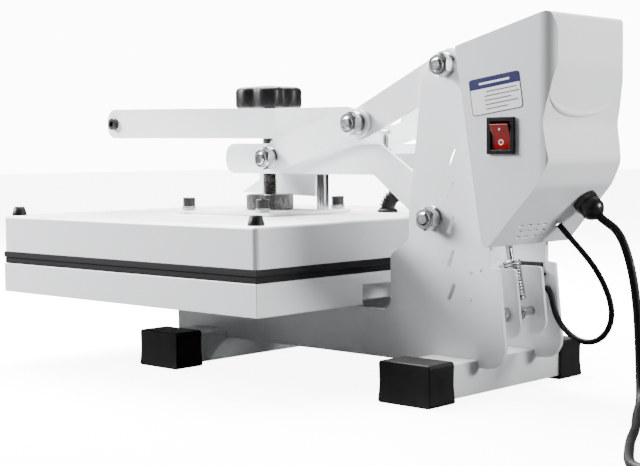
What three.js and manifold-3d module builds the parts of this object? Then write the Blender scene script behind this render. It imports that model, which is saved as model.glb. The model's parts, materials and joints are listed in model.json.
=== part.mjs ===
// Clamshell heat press: a fixed lower platen on a folded steel frame, a heated upper platen
// on a toggle arm, and a control box behind the tower. Millimetres, +Z up, operator at -Y.
import * as THREE from 'three';
import Module from 'manifold-3d';
import { mergeVertices } from 'three/addons/utils/BufferGeometryUtils.js';

const wasm = await Module();
wasm.setup();

// ---- driving dimensions ----
const gap = 0.3;                    // clearance between parts that touch
const plateThick = 4;               // tower, arm, link and handle plates
const runningGap = 1;               // between plates that swing past each other

const platenSize = 380;             // width and depth of both platens
const platenRear = 190;             // their rear edge, just clear of the tower
const trayBottom = 73.5;
const trayHeight = 29.6;
const trayWall = 1.6;
const padThick = 5.6;
const heatPlateEdge = 5.8;
const coverHeight = 37.3;
const coverWall = 1.6;
const coverCorner = 12;
const coverRound = 5;

const barWidth = 50;                // crossbars: rectangular tube along X
const barHeight = 30;
const barWall = 2;
const barLength = 224;
const frontBarY = -32;
const rearBarY = 290.5;
const footWall = 3;
const footLength = 34;

const towerOuter = 45;              // outer faces of the tower plates
const baseTop = 70;
const baseFront = -82;
const baseSkirt = 8;                // how far the base laps over a crossbar

const armPivot = { y: 267.5, z: 155.8 };
const linkPivot = { y: 283, z: 290.6 };
const handlePivot = { y: 62, z: 210 };
const togglePivot = { y: 177, z: 242 };
const boltRadius = 6;
const nutAcross = 19;
const nutHeight = 10;
const washerRadius = 11;
const washerThick = 2;

const screwY = 14.4;                // pressure screw
const screwRadius = 7.4;
const knobRadius = 36;
const knobHeight = 21;
const knobBottom = 261.5;
const mountWidth = 120;             // plate between the screw and the upper platen
const mountDepth = 143;
const mountThick = 3.5;
const mountY = 4.8;
const mountBoltPitch = 110;
const socketHeight = 16;            // collar that the screw turns in
const socketRadius = 24.5;
const rodRadius = 6.2;              // guide rod that keeps the platen square
const rodSide = 1.3;                // from the rod to the left arm plate
const rodY = 68;

const gripRadius = 15.5;
const gripY = -153;
const gripZ = 248;
const handleHalf = 70;              // outer face of the handle's front section

const boxHalfFront = 65;            // control box half width at its front and rear
const boxHalfRear = 58;
const boxWall = 2.5;
const boxCorner = 16;

const springLeverReach = 44.5;
const springAnchor = { y: 328, z: 72 };
const springRadius = 8.5;

const cordRadius = 3.7;
const coilRadius = 38;
const coilTube = 11.5;
const sensorRadius = 2.6;

// ---- heights and places that follow from them ----
const barBottom = footWall + gap;
const barTop = barBottom + barHeight;
const trayTop = trayBottom + trayHeight;
const padBottom = trayTop + gap;
const padTop = padBottom + padThick;
const heatBottom = padTop + gap;
const heatShoulder = heatBottom + heatPlateEdge;
const coverBottom = heatShoulder + gap;
const coverTop = coverBottom + coverHeight;
const heatTop = coverBottom + 12;
const mountBottom = coverTop + gap;
const mountTop = mountBottom + mountThick;
// From outside in: tower and handle plates, then the links, then the arm plates.
const layerStep = plateThick + runningGap;
const towerInner = towerOuter - plateThick;
const linkOuter = towerOuter - layerStep;
const linkInner = linkOuter - plateThick;
const armOuter = linkOuter - layerStep;
const armInner = armOuter - plateThick;
const rodX = rodRadius + rodSide - armInner;
const nutFace = towerOuter + gap;
const half = platenSize / 2;
const platenY = platenRear - half;

// ---- finishes ----
const paint = (color, roughness = 0.38, metalness = 0) =>
  new THREE.MeshStandardMaterial({ color, roughness, metalness });
const whitePaint = () => paint(0xf1f2f1);
const steel = () => paint(0xc9ccce, 0.28, 0.95);
const black = () => paint(0x141414, 0.5);

// ---- solids ----
const manifoldOf = (geometry) => {
  const plain = geometry.index ? geometry.toNonIndexed() : geometry.clone();
  plain.deleteAttribute('normal');
  plain.deleteAttribute('uv');
  const merged = mergeVertices(plain, 1e-4);
  const vertProperties = new Float32Array(merged.attributes.position.array);
  const triVerts = new Uint32Array(merged.index.array);
  return new wasm.Manifold(new wasm.Mesh({ numProp: 3, vertProperties, triVerts }));
};

const geometryOf = (solid) => {
  const mesh = solid.getMesh();
  const geometry = new THREE.BufferGeometry();
  const positions = new Float32Array(mesh.vertProperties);
  geometry.setAttribute('position', new THREE.BufferAttribute(positions, 3));
  geometry.setIndex(new THREE.BufferAttribute(new Uint32Array(mesh.triVerts), 1));
  geometry.computeVertexNormals();
  return geometry;
};

const join = (...parts) => parts.reduce((whole, part) => whole.add(part));
const cut = (body, ...tools) => tools.reduce((left, tool) => left.subtract(tool), body);

const box = (x0, x1, y0, y1, z0, z1) => {
  const geometry = new THREE.BoxGeometry(x1 - x0, y1 - y0, z1 - z0);
  geometry.translate((x0 + x1) / 2, (y0 + y1) / 2, (z0 + z1) / 2);
  return manifoldOf(geometry);
};

// An outline from corner points [a, b, radius]; a radius rounds that corner with an arc.
const outline = (corners, arcSteps = 5) => {
  const points = [];
  corners.forEach(([a, b, radius = 0], i) => {
    const here = new THREE.Vector2(a, b);
    if (!radius) {
      points.push(here);
      return;
    }
    const [pa, pb] = corners[(i + corners.length - 1) % corners.length];
    const [na, nb] = corners[(i + 1) % corners.length];
    const back = new THREE.Vector2(pa, pb).sub(here).normalize();
    const ahead = new THREE.Vector2(na, nb).sub(here).normalize();
    const halfAngle = Math.acos(THREE.MathUtils.clamp(back.dot(ahead), -1, 1)) / 2;
    const inward = back.clone().add(ahead).normalize();
    const middle = here.clone().addScaledVector(inward, radius / Math.sin(halfAngle));
    const start = here.clone().addScaledVector(back, radius / Math.tan(halfAngle)).sub(middle);
    const end = here.clone().addScaledVector(ahead, radius / Math.tan(halfAngle)).sub(middle);
    const sweep = Math.atan2(start.cross(end), start.dot(end));
    for (let k = 0; k <= arcSteps; k += 1) {
      points.push(start.clone().rotateAround(new THREE.Vector2(), (sweep * k) / arcSteps).add(middle));
    }
  });
  return new THREE.Shape(points);
};

const disc = (a, b, radius, steps = 16) => new THREE.Shape(
  Array.from({ length: steps }, (_, k) => {
    const angle = (2 * Math.PI * k) / steps;
    return new THREE.Vector2(a + radius * Math.cos(angle), b + radius * Math.sin(angle));
  }));

const extruded = (shape, depth) => new THREE.ExtrudeGeometry(shape, { depth, bevelEnabled: false });

// A shape drawn in (Y, Z) and given thickness from x0 to x1.
const alongX = (shape, x0, x1) => {
  const geometry = extruded(shape, x1 - x0);
  geometry.applyMatrix4(new THREE.Matrix4().makeBasis(
    new THREE.Vector3(0, 1, 0), new THREE.Vector3(0, 0, 1), new THREE.Vector3(1, 0, 0)));
  geometry.translate(x0, 0, 0);
  return manifoldOf(geometry);
};

// A shape drawn in (X, Y) and given height from z0 to z1.
const alongZ = (shape, z0, z1) => {
  const geometry = extruded(shape, z1 - z0);
  geometry.translate(0, 0, z0);
  return manifoldOf(geometry);
};

const rodX0 = (pivot, radius, x0, x1, steps = 16) => alongX(disc(pivot.y, pivot.z, radius, steps), x0, x1);
const ringX = (pivot, outer, inner, x0, x1) => cut(
  rodX0(pivot, outer, x0, x1), rodX0(pivot, inner, x0 - 1, x1 + 1));
const mirrored = (solid) => solid.mirror([1, 0, 0]);

const revolved = (profile, steps = 32) => {
  const geometry = new THREE.LatheGeometry(profile.map(([r, h]) => new THREE.Vector2(r, h)), steps);
  geometry.rotateX(Math.PI / 2);
  return geometry;
};
// A turned part standing on Z at (x, y); its profile is [radius, height] from the axis out and back.
const turned = (profile, x, y, z, steps) => {
  const geometry = revolved(profile, steps);
  geometry.translate(x, y, z);
  return manifoldOf(geometry);
};

const hexagon = (a, b, across) => new THREE.Shape(Array.from({ length: 6 }, (_, k) => {
  const angle = (Math.PI * k) / 3;
  const radius = across / Math.sqrt(3);
  return new THREE.Vector2(a + radius * Math.cos(angle), b + radius * Math.sin(angle));
}));

const sweep = (points, radius, sides, steps) => {
  const path = new THREE.CatmullRomCurve3(points.map((p) => new THREE.Vector3(...p)), false, 'centripetal');
  const geometry = new THREE.ExtrudeGeometry(disc(0, 0, radius, sides),
    { steps, extrudePath: path, bevelEnabled: false });
  return manifoldOf(geometry);
};

const press = new THREE.Group();
const cordParts = [];
const place = (name, solid, material, parent = press) => {
  const mesh = new THREE.Mesh(geometryOf(solid), material);
  mesh.name = name;
  parent.add(mesh);
  return mesh;
};

// ================= frame =================
const barEnd = barLength / 2;
const crossbar = (y) => cut(
  box(-barEnd, barEnd, y - barWidth / 2, y + barWidth / 2, barBottom, barTop),
  box(-barEnd - 1, barEnd + 1, y - barWidth / 2 + barWall, y + barWidth / 2 - barWall,
    barBottom + barWall, barTop - barWall));
place('crossbar_front', crossbar(frontBarY), whitePaint());
place('crossbar_rear', crossbar(rearBarY), whitePaint());

const footHalf = barWidth / 2 + gap + footWall;
const footTop = barTop + gap + footWall;
const foot = (y) => {
  const outer = outline([[y - footHalf, 0, 3], [y + footHalf, 0, 3], [y + footHalf, footTop, 3],
    [y - footHalf, footTop, 3]], 3);
  const shell = alongX(outer, barEnd + gap + footWall - footLength, barEnd + gap + footWall);
  const pocket = box(0, barEnd + gap, y - barWidth / 2 - gap, y + barWidth / 2 + gap, footWall, barTop + gap);
  return cut(shell, pocket);
};
const rubber = () => paint(0x161616, 0.75);
[['front', frontBarY], ['rear', rearBarY]].forEach(([end, y]) => {
  place(`foot_${end}_right`, foot(y), rubber());
  place(`foot_${end}_left`, mirrored(foot(y)), rubber());
});

// Tower plate and base in one piece of folded steel, notched over both crossbars.
const seat = barTop + gap;
const skirt = seat - baseSkirt;
const towerFront = 217;
const towerRear = 337;
const towerCap = 14;
const barSpan = barWidth / 2 + gap;
const towerOutline = outline([
  [baseFront, skirt, 2], [frontBarY - barSpan, skirt], [frontBarY - barSpan, seat],
  [frontBarY + barSpan, seat], [frontBarY + barSpan, skirt], [rearBarY - barSpan, skirt],
  [rearBarY - barSpan, seat], [rearBarY + barSpan, seat], [rearBarY + barSpan, skirt + 1, 3],
  [towerRear + 10, skirt + 1, 18], [towerRear + 1, baseTop + 44], [towerRear - 8, baseTop + 45],
  [towerRear - 8, armPivot.z - 6], [linkPivot.y + towerCap, linkPivot.z, 6],
  [linkPivot.y + towerCap * 0.4, linkPivot.z + towerCap, 6],
  [linkPivot.y - towerCap * 0.6, linkPivot.z + towerCap * 0.9, 5],
  [towerFront + 38, linkPivot.z - 10, 12],
  [towerFront + 35, linkPivot.z - 34, 12], [towerFront + 22, armPivot.z + 2, 16],
  [towerFront + 22, baseTop + 66, 9], [towerFront, baseTop + 51, 6],
  [towerFront, baseTop, 10], [baseFront, baseTop, 6]], 4);
const slot = (z) => {
  const lean = THREE.MathUtils.degToRad(66);
  const reach = 8;
  const centre = [287.3, z];
  const ends = [-1, 1].map((s) => [
    centre[0] + s * reach * Math.cos(lean), centre[1] + s * reach * Math.sin(lean)]);
  const wide = 2;
  const side = [wide * Math.sin(lean), -wide * Math.cos(lean)];
  return alongX(outline([
    [ends[0][0] + side[0], ends[0][1] + side[1]], [ends[1][0] + side[0], ends[1][1] + side[1]],
    [ends[1][0] - side[0], ends[1][1] - side[1]], [ends[0][0] - side[0], ends[0][1] - side[1]]]),
  towerInner - 1, towerOuter + 1);
};
const slotPitch = 29.8;
const slots = Array.from({ length: 5 }, (_, k) => slot(91 + slotPitch * k));
const rivetHoles = [[310, 109], [309, 84.6], [320.7, 111.5]].map(([y, z]) =>
  rodX0({ y, z }, 1.8, towerInner - 1, towerOuter + 1, 10));
const boltHoles = [armPivot, linkPivot].map((pivot) =>
  rodX0(pivot, boltRadius + gap, towerInner - 1, towerOuter + 1));
const towerPlate = cut(alongX(towerOutline, towerInner, towerOuter), ...slots, ...rivetHoles, ...boltHoles);
place('tower_plate_right', towerPlate, whitePaint());
place('tower_plate_left', mirrored(towerPlate), whitePaint());

const inside = towerInner - gap;
place('tower_front_web', cut(
  box(-inside, inside, towerFront + 2, towerFront + 5, seat + 12, baseTop + 42),
  box(-15, 15, towerFront, towerFront + 8, baseTop - 8, baseTop + 14)), whitePaint());

// Two channels and the rail between them carry the lower platen on the base.
const bracketTop = trayTop - trayWall - gap;
const bracketSheet = 3;
const bracketHalfX = 62;
const bracketHalfY = 22;
const bracketFrontY = -50;
const bracketRearY = 120;
const channel = (y) => cut(
  box(-bracketHalfX, bracketHalfX, y - bracketHalfY, y + bracketHalfY, baseTop + gap, bracketTop),
  box(-bracketHalfX - 1, bracketHalfX + 1, y - bracketHalfY + bracketSheet, y + bracketHalfY - bracketSheet,
    baseTop + gap - 1, bracketTop - bracketSheet));
place('platen_bracket', join(channel(bracketFrontY), channel(bracketRearY),
  box(-bracketHalfY, bracketHalfY, bracketFrontY, bracketRearY, bracketTop - bracketSheet, bracketTop)),
whitePaint());

// A square block under or over the work, centred on the platens.
const square = (reach, z0, z1) => box(-reach, reach, platenY - reach, platenY + reach, z0, z1);
const padInset = 1;
const rearCut = towerOuter + 8;
place('lower_platen', cut(
  square(half, trayBottom, trayTop),
  square(half - trayWall, trayBottom - 1, trayTop - trayWall),
  box(-rearCut, rearCut, platenRear - 10, platenRear + 10, trayBottom - 1, trayTop - 11)), whitePaint());
place('silicone_pad', square(half - padInset, padBottom, padTop), paint(0x17181a, 0.8));

// ================= pivots that stay on the tower =================
const nutStack = (pivot, x) => join(rodX0(pivot, washerRadius, x, x + washerThick),
  alongX(hexagon(pivot.y, pivot.z, nutAcross), x + washerThick - 0.1, x + washerThick + nutHeight));
const threadOut = 4;                // thread left showing past a nut
const studEnd = nutFace + washerThick + nutHeight + threadOut;
const headHeight = 7;
const headFace = nutFace + washerThick;
const longBolt = (pivot) => join(
  rodX0(pivot, boltRadius, -headFace - 1, studEnd), nutStack(pivot, nutFace),
  rodX0(pivot, washerRadius, -headFace, -nutFace),
  alongX(hexagon(pivot.y, pivot.z, nutAcross), -headFace - headHeight, -headFace + 0.1));
place('arm_pivot_bolt', longBolt(armPivot), steel());
place('link_pivot_bolt', longBolt(linkPivot), steel());

// ================= arm: swings up about the arm pivot =================
const arm = new THREE.Group();
press.add(arm);
const armTop = 225.5;
const armBottom = 195;
const armFront = -14.5;
const armBend = 196.5;
const armPlateShape = outline([
  [armFront, armBottom, 13], [armBend - 8, armBottom - 1, 8],
  [armPivot.y - 11, armPivot.z - 12.9], [armPivot.y + 9.5, armPivot.z + 14.2],
  [armBend, armTop - 3, 6], [armFront, armTop, 13]]);
const armEnd = 17;
const armPlate = cut(
  join(alongX(armPlateShape, armInner, armOuter), rodX0(armPivot, armEnd, armInner, armOuter, 24)),
  rodX0(armPivot, boltRadius + gap, armInner - 1, armOuter + 1),
  rodX0(handlePivot, boltRadius + gap, armInner - 1, armOuter + 1));
place('arm_plate_right', armPlate, whitePaint(), arm);
// The left plate carries a welded tie block that stops short of the right one.
const core = armInner - gap;
const tie = { y: 197, z: armTop - 12 };
const stopHead = tie.z + 18;
const stopX = core - 9;
const stopY = tie.y - 5;
const stopRadius = 3;
place('arm_plate_left', join(mirrored(armPlate), cut(
  box(-armInner - 0.5, core, tie.y - 12, tie.y + 6, tie.z - 14, tie.z),
  alongZ(disc(stopX, stopY, stopRadius + gap, 12), tie.z - 20, tie.z + 5))), whitePaint(), arm);
place('stop_screw', join(
  alongZ(disc(stopX, stopY, stopRadius, 12), tie.z - 12, stopHead),
  alongZ(hexagon(stopX, stopY, 10), stopHead, stopHead + 4)), steel(), arm);

// Cross block with the screw's thread and the guide rod's bush.
const coreTop = armTop - 4;
place('arm_core', cut(
  join(box(-core, core, screwY - 17, screwY + 17, armBottom + 2, coreTop),
    box(-core, core, rodY - 13, rodY + 13, armBottom + 2, coreTop),
    box(-core, core, screwY, rodY, coreTop - 4, coreTop),
    alongX(outline([[-53, 174], [-28, 186.5], [-22, coreTop], [55, coreTop], [55, 170], [-53, 173]]),
      -core + 2, -core + 5)),
  alongZ(disc(0, screwY, screwRadius + gap), armBottom, coreTop + 1),
  alongZ(disc(0, screwY, socketRadius + runningGap, 48),
    mountTop, mountTop + socketHeight + runningGap + gap),
  alongZ(disc(rodX, rodY, rodRadius + gap), armBottom, coreTop + 1)), whitePaint(), arm);

const stud = (pivot, x0) => join(rodX0(pivot, boltRadius, x0, studEnd), nutStack(pivot, nutFace));
const handleStud = join(stud(handlePivot, armInner),
  rodX0(handlePivot, washerRadius, armOuter + gap, towerInner - gap));
place('handle_stud_right', handleStud, steel(), arm);
place('handle_stud_left', mirrored(handleStud), steel(), arm);

// A sleeve on the arm pivot with two lugs that pull the return spring.
const leverPin = { y: armPivot.y + springLeverReach, z: armPivot.z + 2 };
const lug = alongX(outline([[armPivot.y, armPivot.z - 9], [leverPin.y + 7, leverPin.z - 6, 6],
  [leverPin.y + 7, leverPin.z + 6, 6], [armPivot.y, armPivot.z + 10]]), 5, 8);
place('arm_spring_lever', cut(
  join(rodX0(armPivot, 11.5, -core, core), lug, mirrored(lug), rodX0(leverPin, 3, -11, 11, 12)),
  rodX0(armPivot, boltRadius + gap, -core - 1, core + 1)), paint(0xb9bcbe, 0.35, 0.8), arm);

// ================= upper platen: slides on the arm =================
const platen = new THREE.Group();
arm.add(platen);
const roundedSquare = (reach, radius) => outline([
  [-reach, platenY - reach, radius], [reach, platenY - reach, radius],
  [reach, platenY + reach, radius], [-reach, platenY + reach, radius]], 4);
const coverGeometry = new THREE.ExtrudeGeometry(roundedSquare(half - coverRound, coverCorner - coverRound),
  { depth: coverHeight, bevelThickness: coverRound, bevelSize: coverRound, bevelSegments: 2 });
coverGeometry.translate(0, 0, coverBottom - coverRound);
const coverShell = manifoldOf(coverGeometry);
const boltReach = mountBoltPitch / 2;
const corners = [[1, 1], [1, -1], [-1, 1], [-1, -1]];
const mountBolts = corners.map(([sx, sy]) => [sx * boltReach, mountY + sy * boltReach]);
const shankRadius = 4;
const boltBores = (z0, z1) => mountBolts.map(([x, y]) =>
  alongZ(disc(x, y, shankRadius + gap, 12), z0, z1));
const boot = { x: -80, y: 107 };
const bootRadius = 6.4;
const rimWall = coverWall + 3;      // the cover's wall and its folded rim
place('upper_cover', cut(coverShell,
  square(half + 1, coverBottom - 2 * coverRound, coverBottom),
  square(half + 1, coverTop, coverTop + 2 * coverRound),
  alongZ(roundedSquare(half - rimWall, coverCorner - 3), coverBottom - 1, coverTop - coverWall),
  ...boltBores(coverTop - 3, coverTop + 1),
  alongZ(disc(boot.x, boot.y, 5, 12), coverTop - 3, coverTop + 1)), whitePaint(), platen);

const insideHalf = half - rimWall - gap;
place('heat_plate', join(
  square(half, heatBottom, heatShoulder),
  alongZ(roundedSquare(insideHalf - 1, coverCorner - 3), heatShoulder - 0.5, heatTop)),
paint(0x111214, 0.45, 0.3), platen);

const elementRuns = 5;
const elementReach = half - 45;
const elementRadius = 3.2;
const elementZ = heatTop + elementRadius + 2 * gap;
const elementPoints = [];
for (let run = 0; run < elementRuns; run += 1) {
  const y = platenY - elementReach + (2 * elementReach * run) / (elementRuns - 1);
  const side = run % 2 ? -1 : 1;
  elementPoints.push([-side * elementReach, y, elementZ]);
  elementPoints.push([side * elementReach, y, elementZ]);
}
place('heating_element', sweep(elementPoints, elementRadius, 6, 45), paint(0x8a8d90, 0.4, 0.8), platen);
const boardBottom = elementZ + elementRadius + 1.2;
const boardThick = 5;
place('insulation_board', alongZ(roundedSquare(insideHalf - 4, 6), boardBottom, boardBottom + boardThick),
  paint(0xe6e2d6, 0.9), platen);

const mountFront = mountY - mountDepth / 2;
const mountRear = mountY + mountDepth / 2;
place('mounting_plate', cut(
  alongZ(outline([[-mountWidth / 2, mountFront, 5], [mountWidth / 2, mountFront, 5],
    [mountWidth / 2, mountRear, 5], [-mountWidth / 2, mountRear, 5]], 3),
  mountBottom, mountTop), ...boltBores(mountBottom - 1, mountTop + 1)), whitePaint(), platen);
// Ribbed elbow where the heater lead leaves the cover.
const bootStart = [boot.x, boot.y, coverTop + gap + 3];
place('lead_boot', join(
  turned([[0, 0], [10.5, 0], [10, 2.5], [7, 4], [0, 4]], boot.x, boot.y, coverTop + gap, 20),
  sweep([bootStart, [boot.x, boot.y, coverTop + 10], [boot.x - 2, boot.y + 4, coverTop + 15],
    [boot.x - 6, boot.y + 11, coverTop + 18]], bootRadius, 12, 8)), black(), platen);

const rodLength = 52;
place('guide_rod', turned([[0, 0], [rodRadius, 0], [rodRadius, rodLength - 1], [rodRadius - 1, rodLength],
  [0, rodLength]], rodX, rodY, mountTop + gap, 24), steel(), platen);

place('screw_socket', cut(
  turned([[0, 0], [socketRadius, 0], [socketRadius, socketHeight - 1], [socketRadius - 1, socketHeight],
    [0, socketHeight]], 0, screwY, mountTop + gap, 48),
  alongZ(disc(0, screwY, screwRadius + 2 * gap), mountTop + 5, mountTop + socketHeight + 2)),
steel(), platen);

// ================= pressure knob: turns the screw =================
const knobGroup = new THREE.Group();
platen.add(knobGroup);
const screwTop = knobBottom + 10;
const screwFoot = mountTop + 6;
const screwLength = screwTop - screwFoot;
place('pressure_screw', turned([[0, 0], [screwRadius - 1, 0], [screwRadius, 1],
  [screwRadius, screwLength - 1], [screwRadius - 1, screwLength], [0, screwLength]],
0, screwY, screwFoot, 24), paint(0x6d6a66, 0.4, 0.9), knobGroup);
const lobes = 6;
const knobRise = 2;
const knobBody = turned([[0, 0], [knobRadius - 3, 0], [knobRadius, 2.5], [knobRadius, knobHeight - 3],
  [knobRadius - 4, knobHeight], [knobRadius / 2, knobHeight + knobRise], [0, knobHeight + knobRise]],
0, screwY, knobBottom, 36);
const scallopRadius = 9;
const scallops = Array.from({ length: lobes }, (_, k) => {
  const angle = (2 * Math.PI * (k + 0.5)) / lobes;
  const reach = knobRadius + scallopRadius / 2;
  return alongZ(disc(reach * Math.cos(angle), screwY + reach * Math.sin(angle), scallopRadius, 16),
    knobBottom - 1, knobBottom + knobHeight + 5);
});
place('pressure_knob', cut(knobBody, ...scallops,
  alongZ(disc(0, screwY, screwRadius + gap), knobBottom - 1, screwTop + gap)), black(), knobGroup);

// ================= handle: turns on the arm's front studs =================
const handle = new THREE.Group();
arm.add(handle);
const bendRear = 67;
const bendFront = 22;
const handleTip = gripY - 13;
const eyeRadius = 14;
const toggleEye = 13;
const handleTopRear = 259;
const handleTopFront = 264;
const handleDeep = 30.5;
const flatShape = outline([
  [handlePivot.y - eyeRadius + 1, handlePivot.z + 4], [bendRear, handleTopRear - handleDeep + 3],
  [bendRear, handleTopRear], [togglePivot.y - 12, handleTopRear - 1, 6],
  [togglePivot.y + 8, togglePivot.z + 10],
  [togglePivot.y + 5, togglePivot.z - 12], [handlePivot.y + 4.5, handlePivot.z - 13.2]]);
const handleInner = handleHalf - plateThick;
const ribbon = new THREE.Shape([
  [towerOuter, bendRear + 1], [towerOuter, bendRear], [handleHalf, bendFront], [handleHalf, handleTip],
  [handleInner, handleTip], [handleInner, bendFront - 1.5], [towerInner, bendRear - 1.5],
  [towerInner, bendRear + 1]].map(([x, y]) => new THREE.Vector2(x, y)));
const strip = outline([[bendRear + 1, handleTopRear], [handleTip, handleTopFront, 13],
  [handleTip, handleTopFront - handleDeep - 0.5, 13], [bendRear + 1, handleTopRear - handleDeep + 1]]);
const handlePlate = cut(
  join(
    alongX(flatShape, towerInner, towerOuter),
    rodX0(handlePivot, eyeRadius, towerInner, towerOuter, 24),
    rodX0(togglePivot, toggleEye, towerInner, towerOuter, 24),
    alongZ(ribbon, handleTopFront - handleDeep - 10, handleTopFront + 10).intersect(
      alongX(strip, towerInner - 1, handleHalf + 1))),
  rodX0(handlePivot, boltRadius + gap, towerInner - 1, towerOuter + 1),
  rodX0(togglePivot, boltRadius + gap, towerInner - 1, towerOuter + 1),
  rodX0({ y: gripY, z: gripZ }, 3.3, handleInner - 1, handleHalf + 1, 16));
place('handle_plate_right', handlePlate, whitePaint(), handle);
// A slanted slot through the left plate only, ahead of the toggle.
const slotCentre = { y: togglePivot.y - 25, z: togglePivot.z + 5 };
const handleSlot = alongX(outline([
  [slotCentre.y - 12, slotCentre.z - 7, 3], [slotCentre.y + 10, slotCentre.z - 2, 3],
  [slotCentre.y + 12, slotCentre.z + 6, 3], [slotCentre.y - 10, slotCentre.z + 1, 3]]),
towerInner - 1, towerOuter + 1);
place('handle_plate_left', mirrored(cut(handlePlate, handleSlot)), whitePaint(), handle);
const grip = { y: gripY, z: gripZ };
const gripEnd = handleInner - gap;
const gripBar = 6;
const gripScrew = join(rodX0(grip, 3, gripEnd - 18, handleHalf + 1, 12),
  rodX0(grip, 5.5, handleHalf + gap, handleHalf + gap + 5));
place('handle_bar', join(rodX0(grip, gripBar, -gripEnd, gripEnd), gripScrew, mirrored(gripScrew)),
  steel(), handle);
place('handle_grip', ringX(grip, gripRadius, gripBar + gap, -gripEnd + 1, gripEnd - 1),
  paint(0x1a1a1a, 0.95), handle);
// Half studs at the toggle: each stops at the handle plate, so the link stays free of it.
const toggleStud = stud(togglePivot, towerInner - gap);
place('toggle_stud_right', toggleStud, steel(), handle);
place('toggle_stud_left', mirrored(toggleStud), steel(), handle);

// ================= links: tower top to toggle =================
const link = new THREE.Group();
press.add(link);
const linkRadius = 15.5;
const along = new THREE.Vector2(linkPivot.y - togglePivot.y, linkPivot.z - togglePivot.z).normalize();
const across = [-along.y * linkRadius, along.x * linkRadius];
const linkCorner = (pivot, side) => [pivot.y + side * across[0], pivot.z + side * across[1]];
const linkShape = outline([linkCorner(togglePivot, -1), linkCorner(linkPivot, -1),
  linkCorner(linkPivot, 1), linkCorner(togglePivot, 1)]);
const linkPlate = cut(
  join(alongX(linkShape, linkInner, linkOuter), rodX0(linkPivot, linkRadius, linkInner, linkOuter, 24),
    rodX0(togglePivot, linkRadius, linkInner, linkOuter, 24)),
  rodX0(linkPivot, boltRadius + gap, linkInner - 1, towerOuter));
const tieMiddle = {
  y: (linkPivot.y + togglePivot.y) / 2 + 14,
  z: (linkPivot.z + togglePivot.z) / 2 + 10,
};
place('toggle_link', join(linkPlate, mirrored(linkPlate),
  rodX0(tieMiddle, 5, -linkInner - 1, linkInner + 1)), whitePaint(), link);

// ================= return spring =================
const earInner = 18;
const earShape = outline([[292, 112], [292, 80], [springAnchor.y - 13, springAnchor.z - 2, 10],
  [springAnchor.y - 2, springAnchor.z - 24, 12], [springAnchor.y + 17, springAnchor.z - 16, 12],
  [springAnchor.y + 11, springAnchor.z + 40, 3]]);
const bracketWeb = { front: 292, rear: 295, bottom: 82, top: 112 };
const ear = cut(join(alongX(earShape, earInner, earInner + 3),
  box(-1, inside, bracketWeb.front, bracketWeb.rear, bracketWeb.bottom, bracketWeb.top),
  box(inside - 3, inside, bracketWeb.front - 14, bracketWeb.rear, bracketWeb.bottom, bracketWeb.top)),
rodX0(springAnchor, 4 + gap, earInner - 1, earInner + 5));
place('spring_bracket', join(ear, mirrored(ear)), whitePaint());
place('spring_anchor_bolt', join(
  rodX0(springAnchor, 4, -earInner - 8, earInner + 14, 16),
  alongX(hexagon(springAnchor.y, springAnchor.z, 13), -earInner - 9, -earInner - 3.3),
  alongX(hexagon(springAnchor.y, springAnchor.z, 13), earInner + 3.3, earInner + 10)), steel());

const spring = new THREE.Group();
press.add(spring);
const pullY = leverPin.y - springAnchor.y;
const pullZ = leverPin.z - springAnchor.z;
const pullLength = Math.hypot(pullY, pullZ);
// Drawn upright from the anchor, then leant towards the lever pin.
const leant = (solid) => {
  const tilt = THREE.MathUtils.radToDeg(Math.atan2(-pullY, pullZ));
  return solid.rotate([tilt, 0, 0]).translate([0, springAnchor.y, springAnchor.z]);
};
const origin = { y: 0, z: 0 };
const tubeTop = 46;
place('return_spring', leant(cut(
  join(turned([[0, 0], [springRadius, 0], [springRadius, tubeTop - 12], [0, tubeTop - 12]], 0, 0, 12, 20),
    alongX(disc(0, 0, 7, 20), -2, 2), box(-2, 2, -3.5, 3.5, 5, 13)),
  alongZ(disc(0, 0, 4.5, 16), 14, tubeTop + 1), rodX0(origin, 4 + gap, -3, 3, 16))), steel(), spring);
const springEnd = new THREE.Group();
spring.add(springEnd);
const loopInner = 8.5;
const loopDrop = 4.5;
const loop = { y: 0, z: pullLength - loopDrop };
place('spring_hook', leant(join(
  ringX(loop, loopInner + 2.4, loopInner, -1.4, 1.4),
  alongZ(disc(0, 0, 3, 12), tubeTop - 6, loop.z - loopInner - 1))), steel(), springEnd);

// ================= control box =================
const boxFrontTop = [307, 305];
const boxFrontBottom = [333, 137];
const slopeBottom = [338, 132];
const boxProfile = [boxFrontBottom, [...slopeBottom, 3], [386, 185, 26], [397, 206, 12], [392, 238, 22],
  [402, 286, 40], [402, 318, 30], [398, 330, 5], boxFrontTop];
const planShape = (shrink) => {
  const y0 = boxFrontTop[0] - 10;
  const y1 = 404 - shrink;
  return outline([[-boxHalfFront + shrink, y0], [boxHalfFront - shrink, y0],
    [boxHalfRear - shrink, y1, boxCorner - shrink], [-boxHalfRear + shrink, y1, boxCorner - shrink]], 4);
};
const profileSolid = (points) => alongX(outline(points, 3), -80, 80);
const boxInnerProfile = [[boxFrontBottom[0] - 10, boxFrontBottom[1] + 2],
  [boxFrontBottom[0] + 2, slopeBottom[1] + 4.5], [slopeBottom[0] + 0.5, slopeBottom[1] + boxWall + 1.2],
  [384, 186.5, 23], [394.5, 206, 10], [389.5, 238, 20],
  [399.5, 286, 38], [399.5, 318, 28], [396, 326.8, 4],
  [boxFrontTop[0] - 10, boxFrontTop[1] - boxWall - 3.2]];
const panelTilt = Math.atan2(330 - 305, 398 - 307);
const panelCentre = { y: 351, z: 305 + (351 - 307) * Math.tan(panelTilt) };
const onTop = (solid) => solid.rotate([THREE.MathUtils.radToDeg(panelTilt), 0, 0])
  .translate([0, panelCentre.y, panelCentre.z]);
const sideDraft = Math.atan2(boxHalfFront - boxHalfRear, 404 - 297);
const switchCentre = { y: 353.5, z: 228 };
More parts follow.
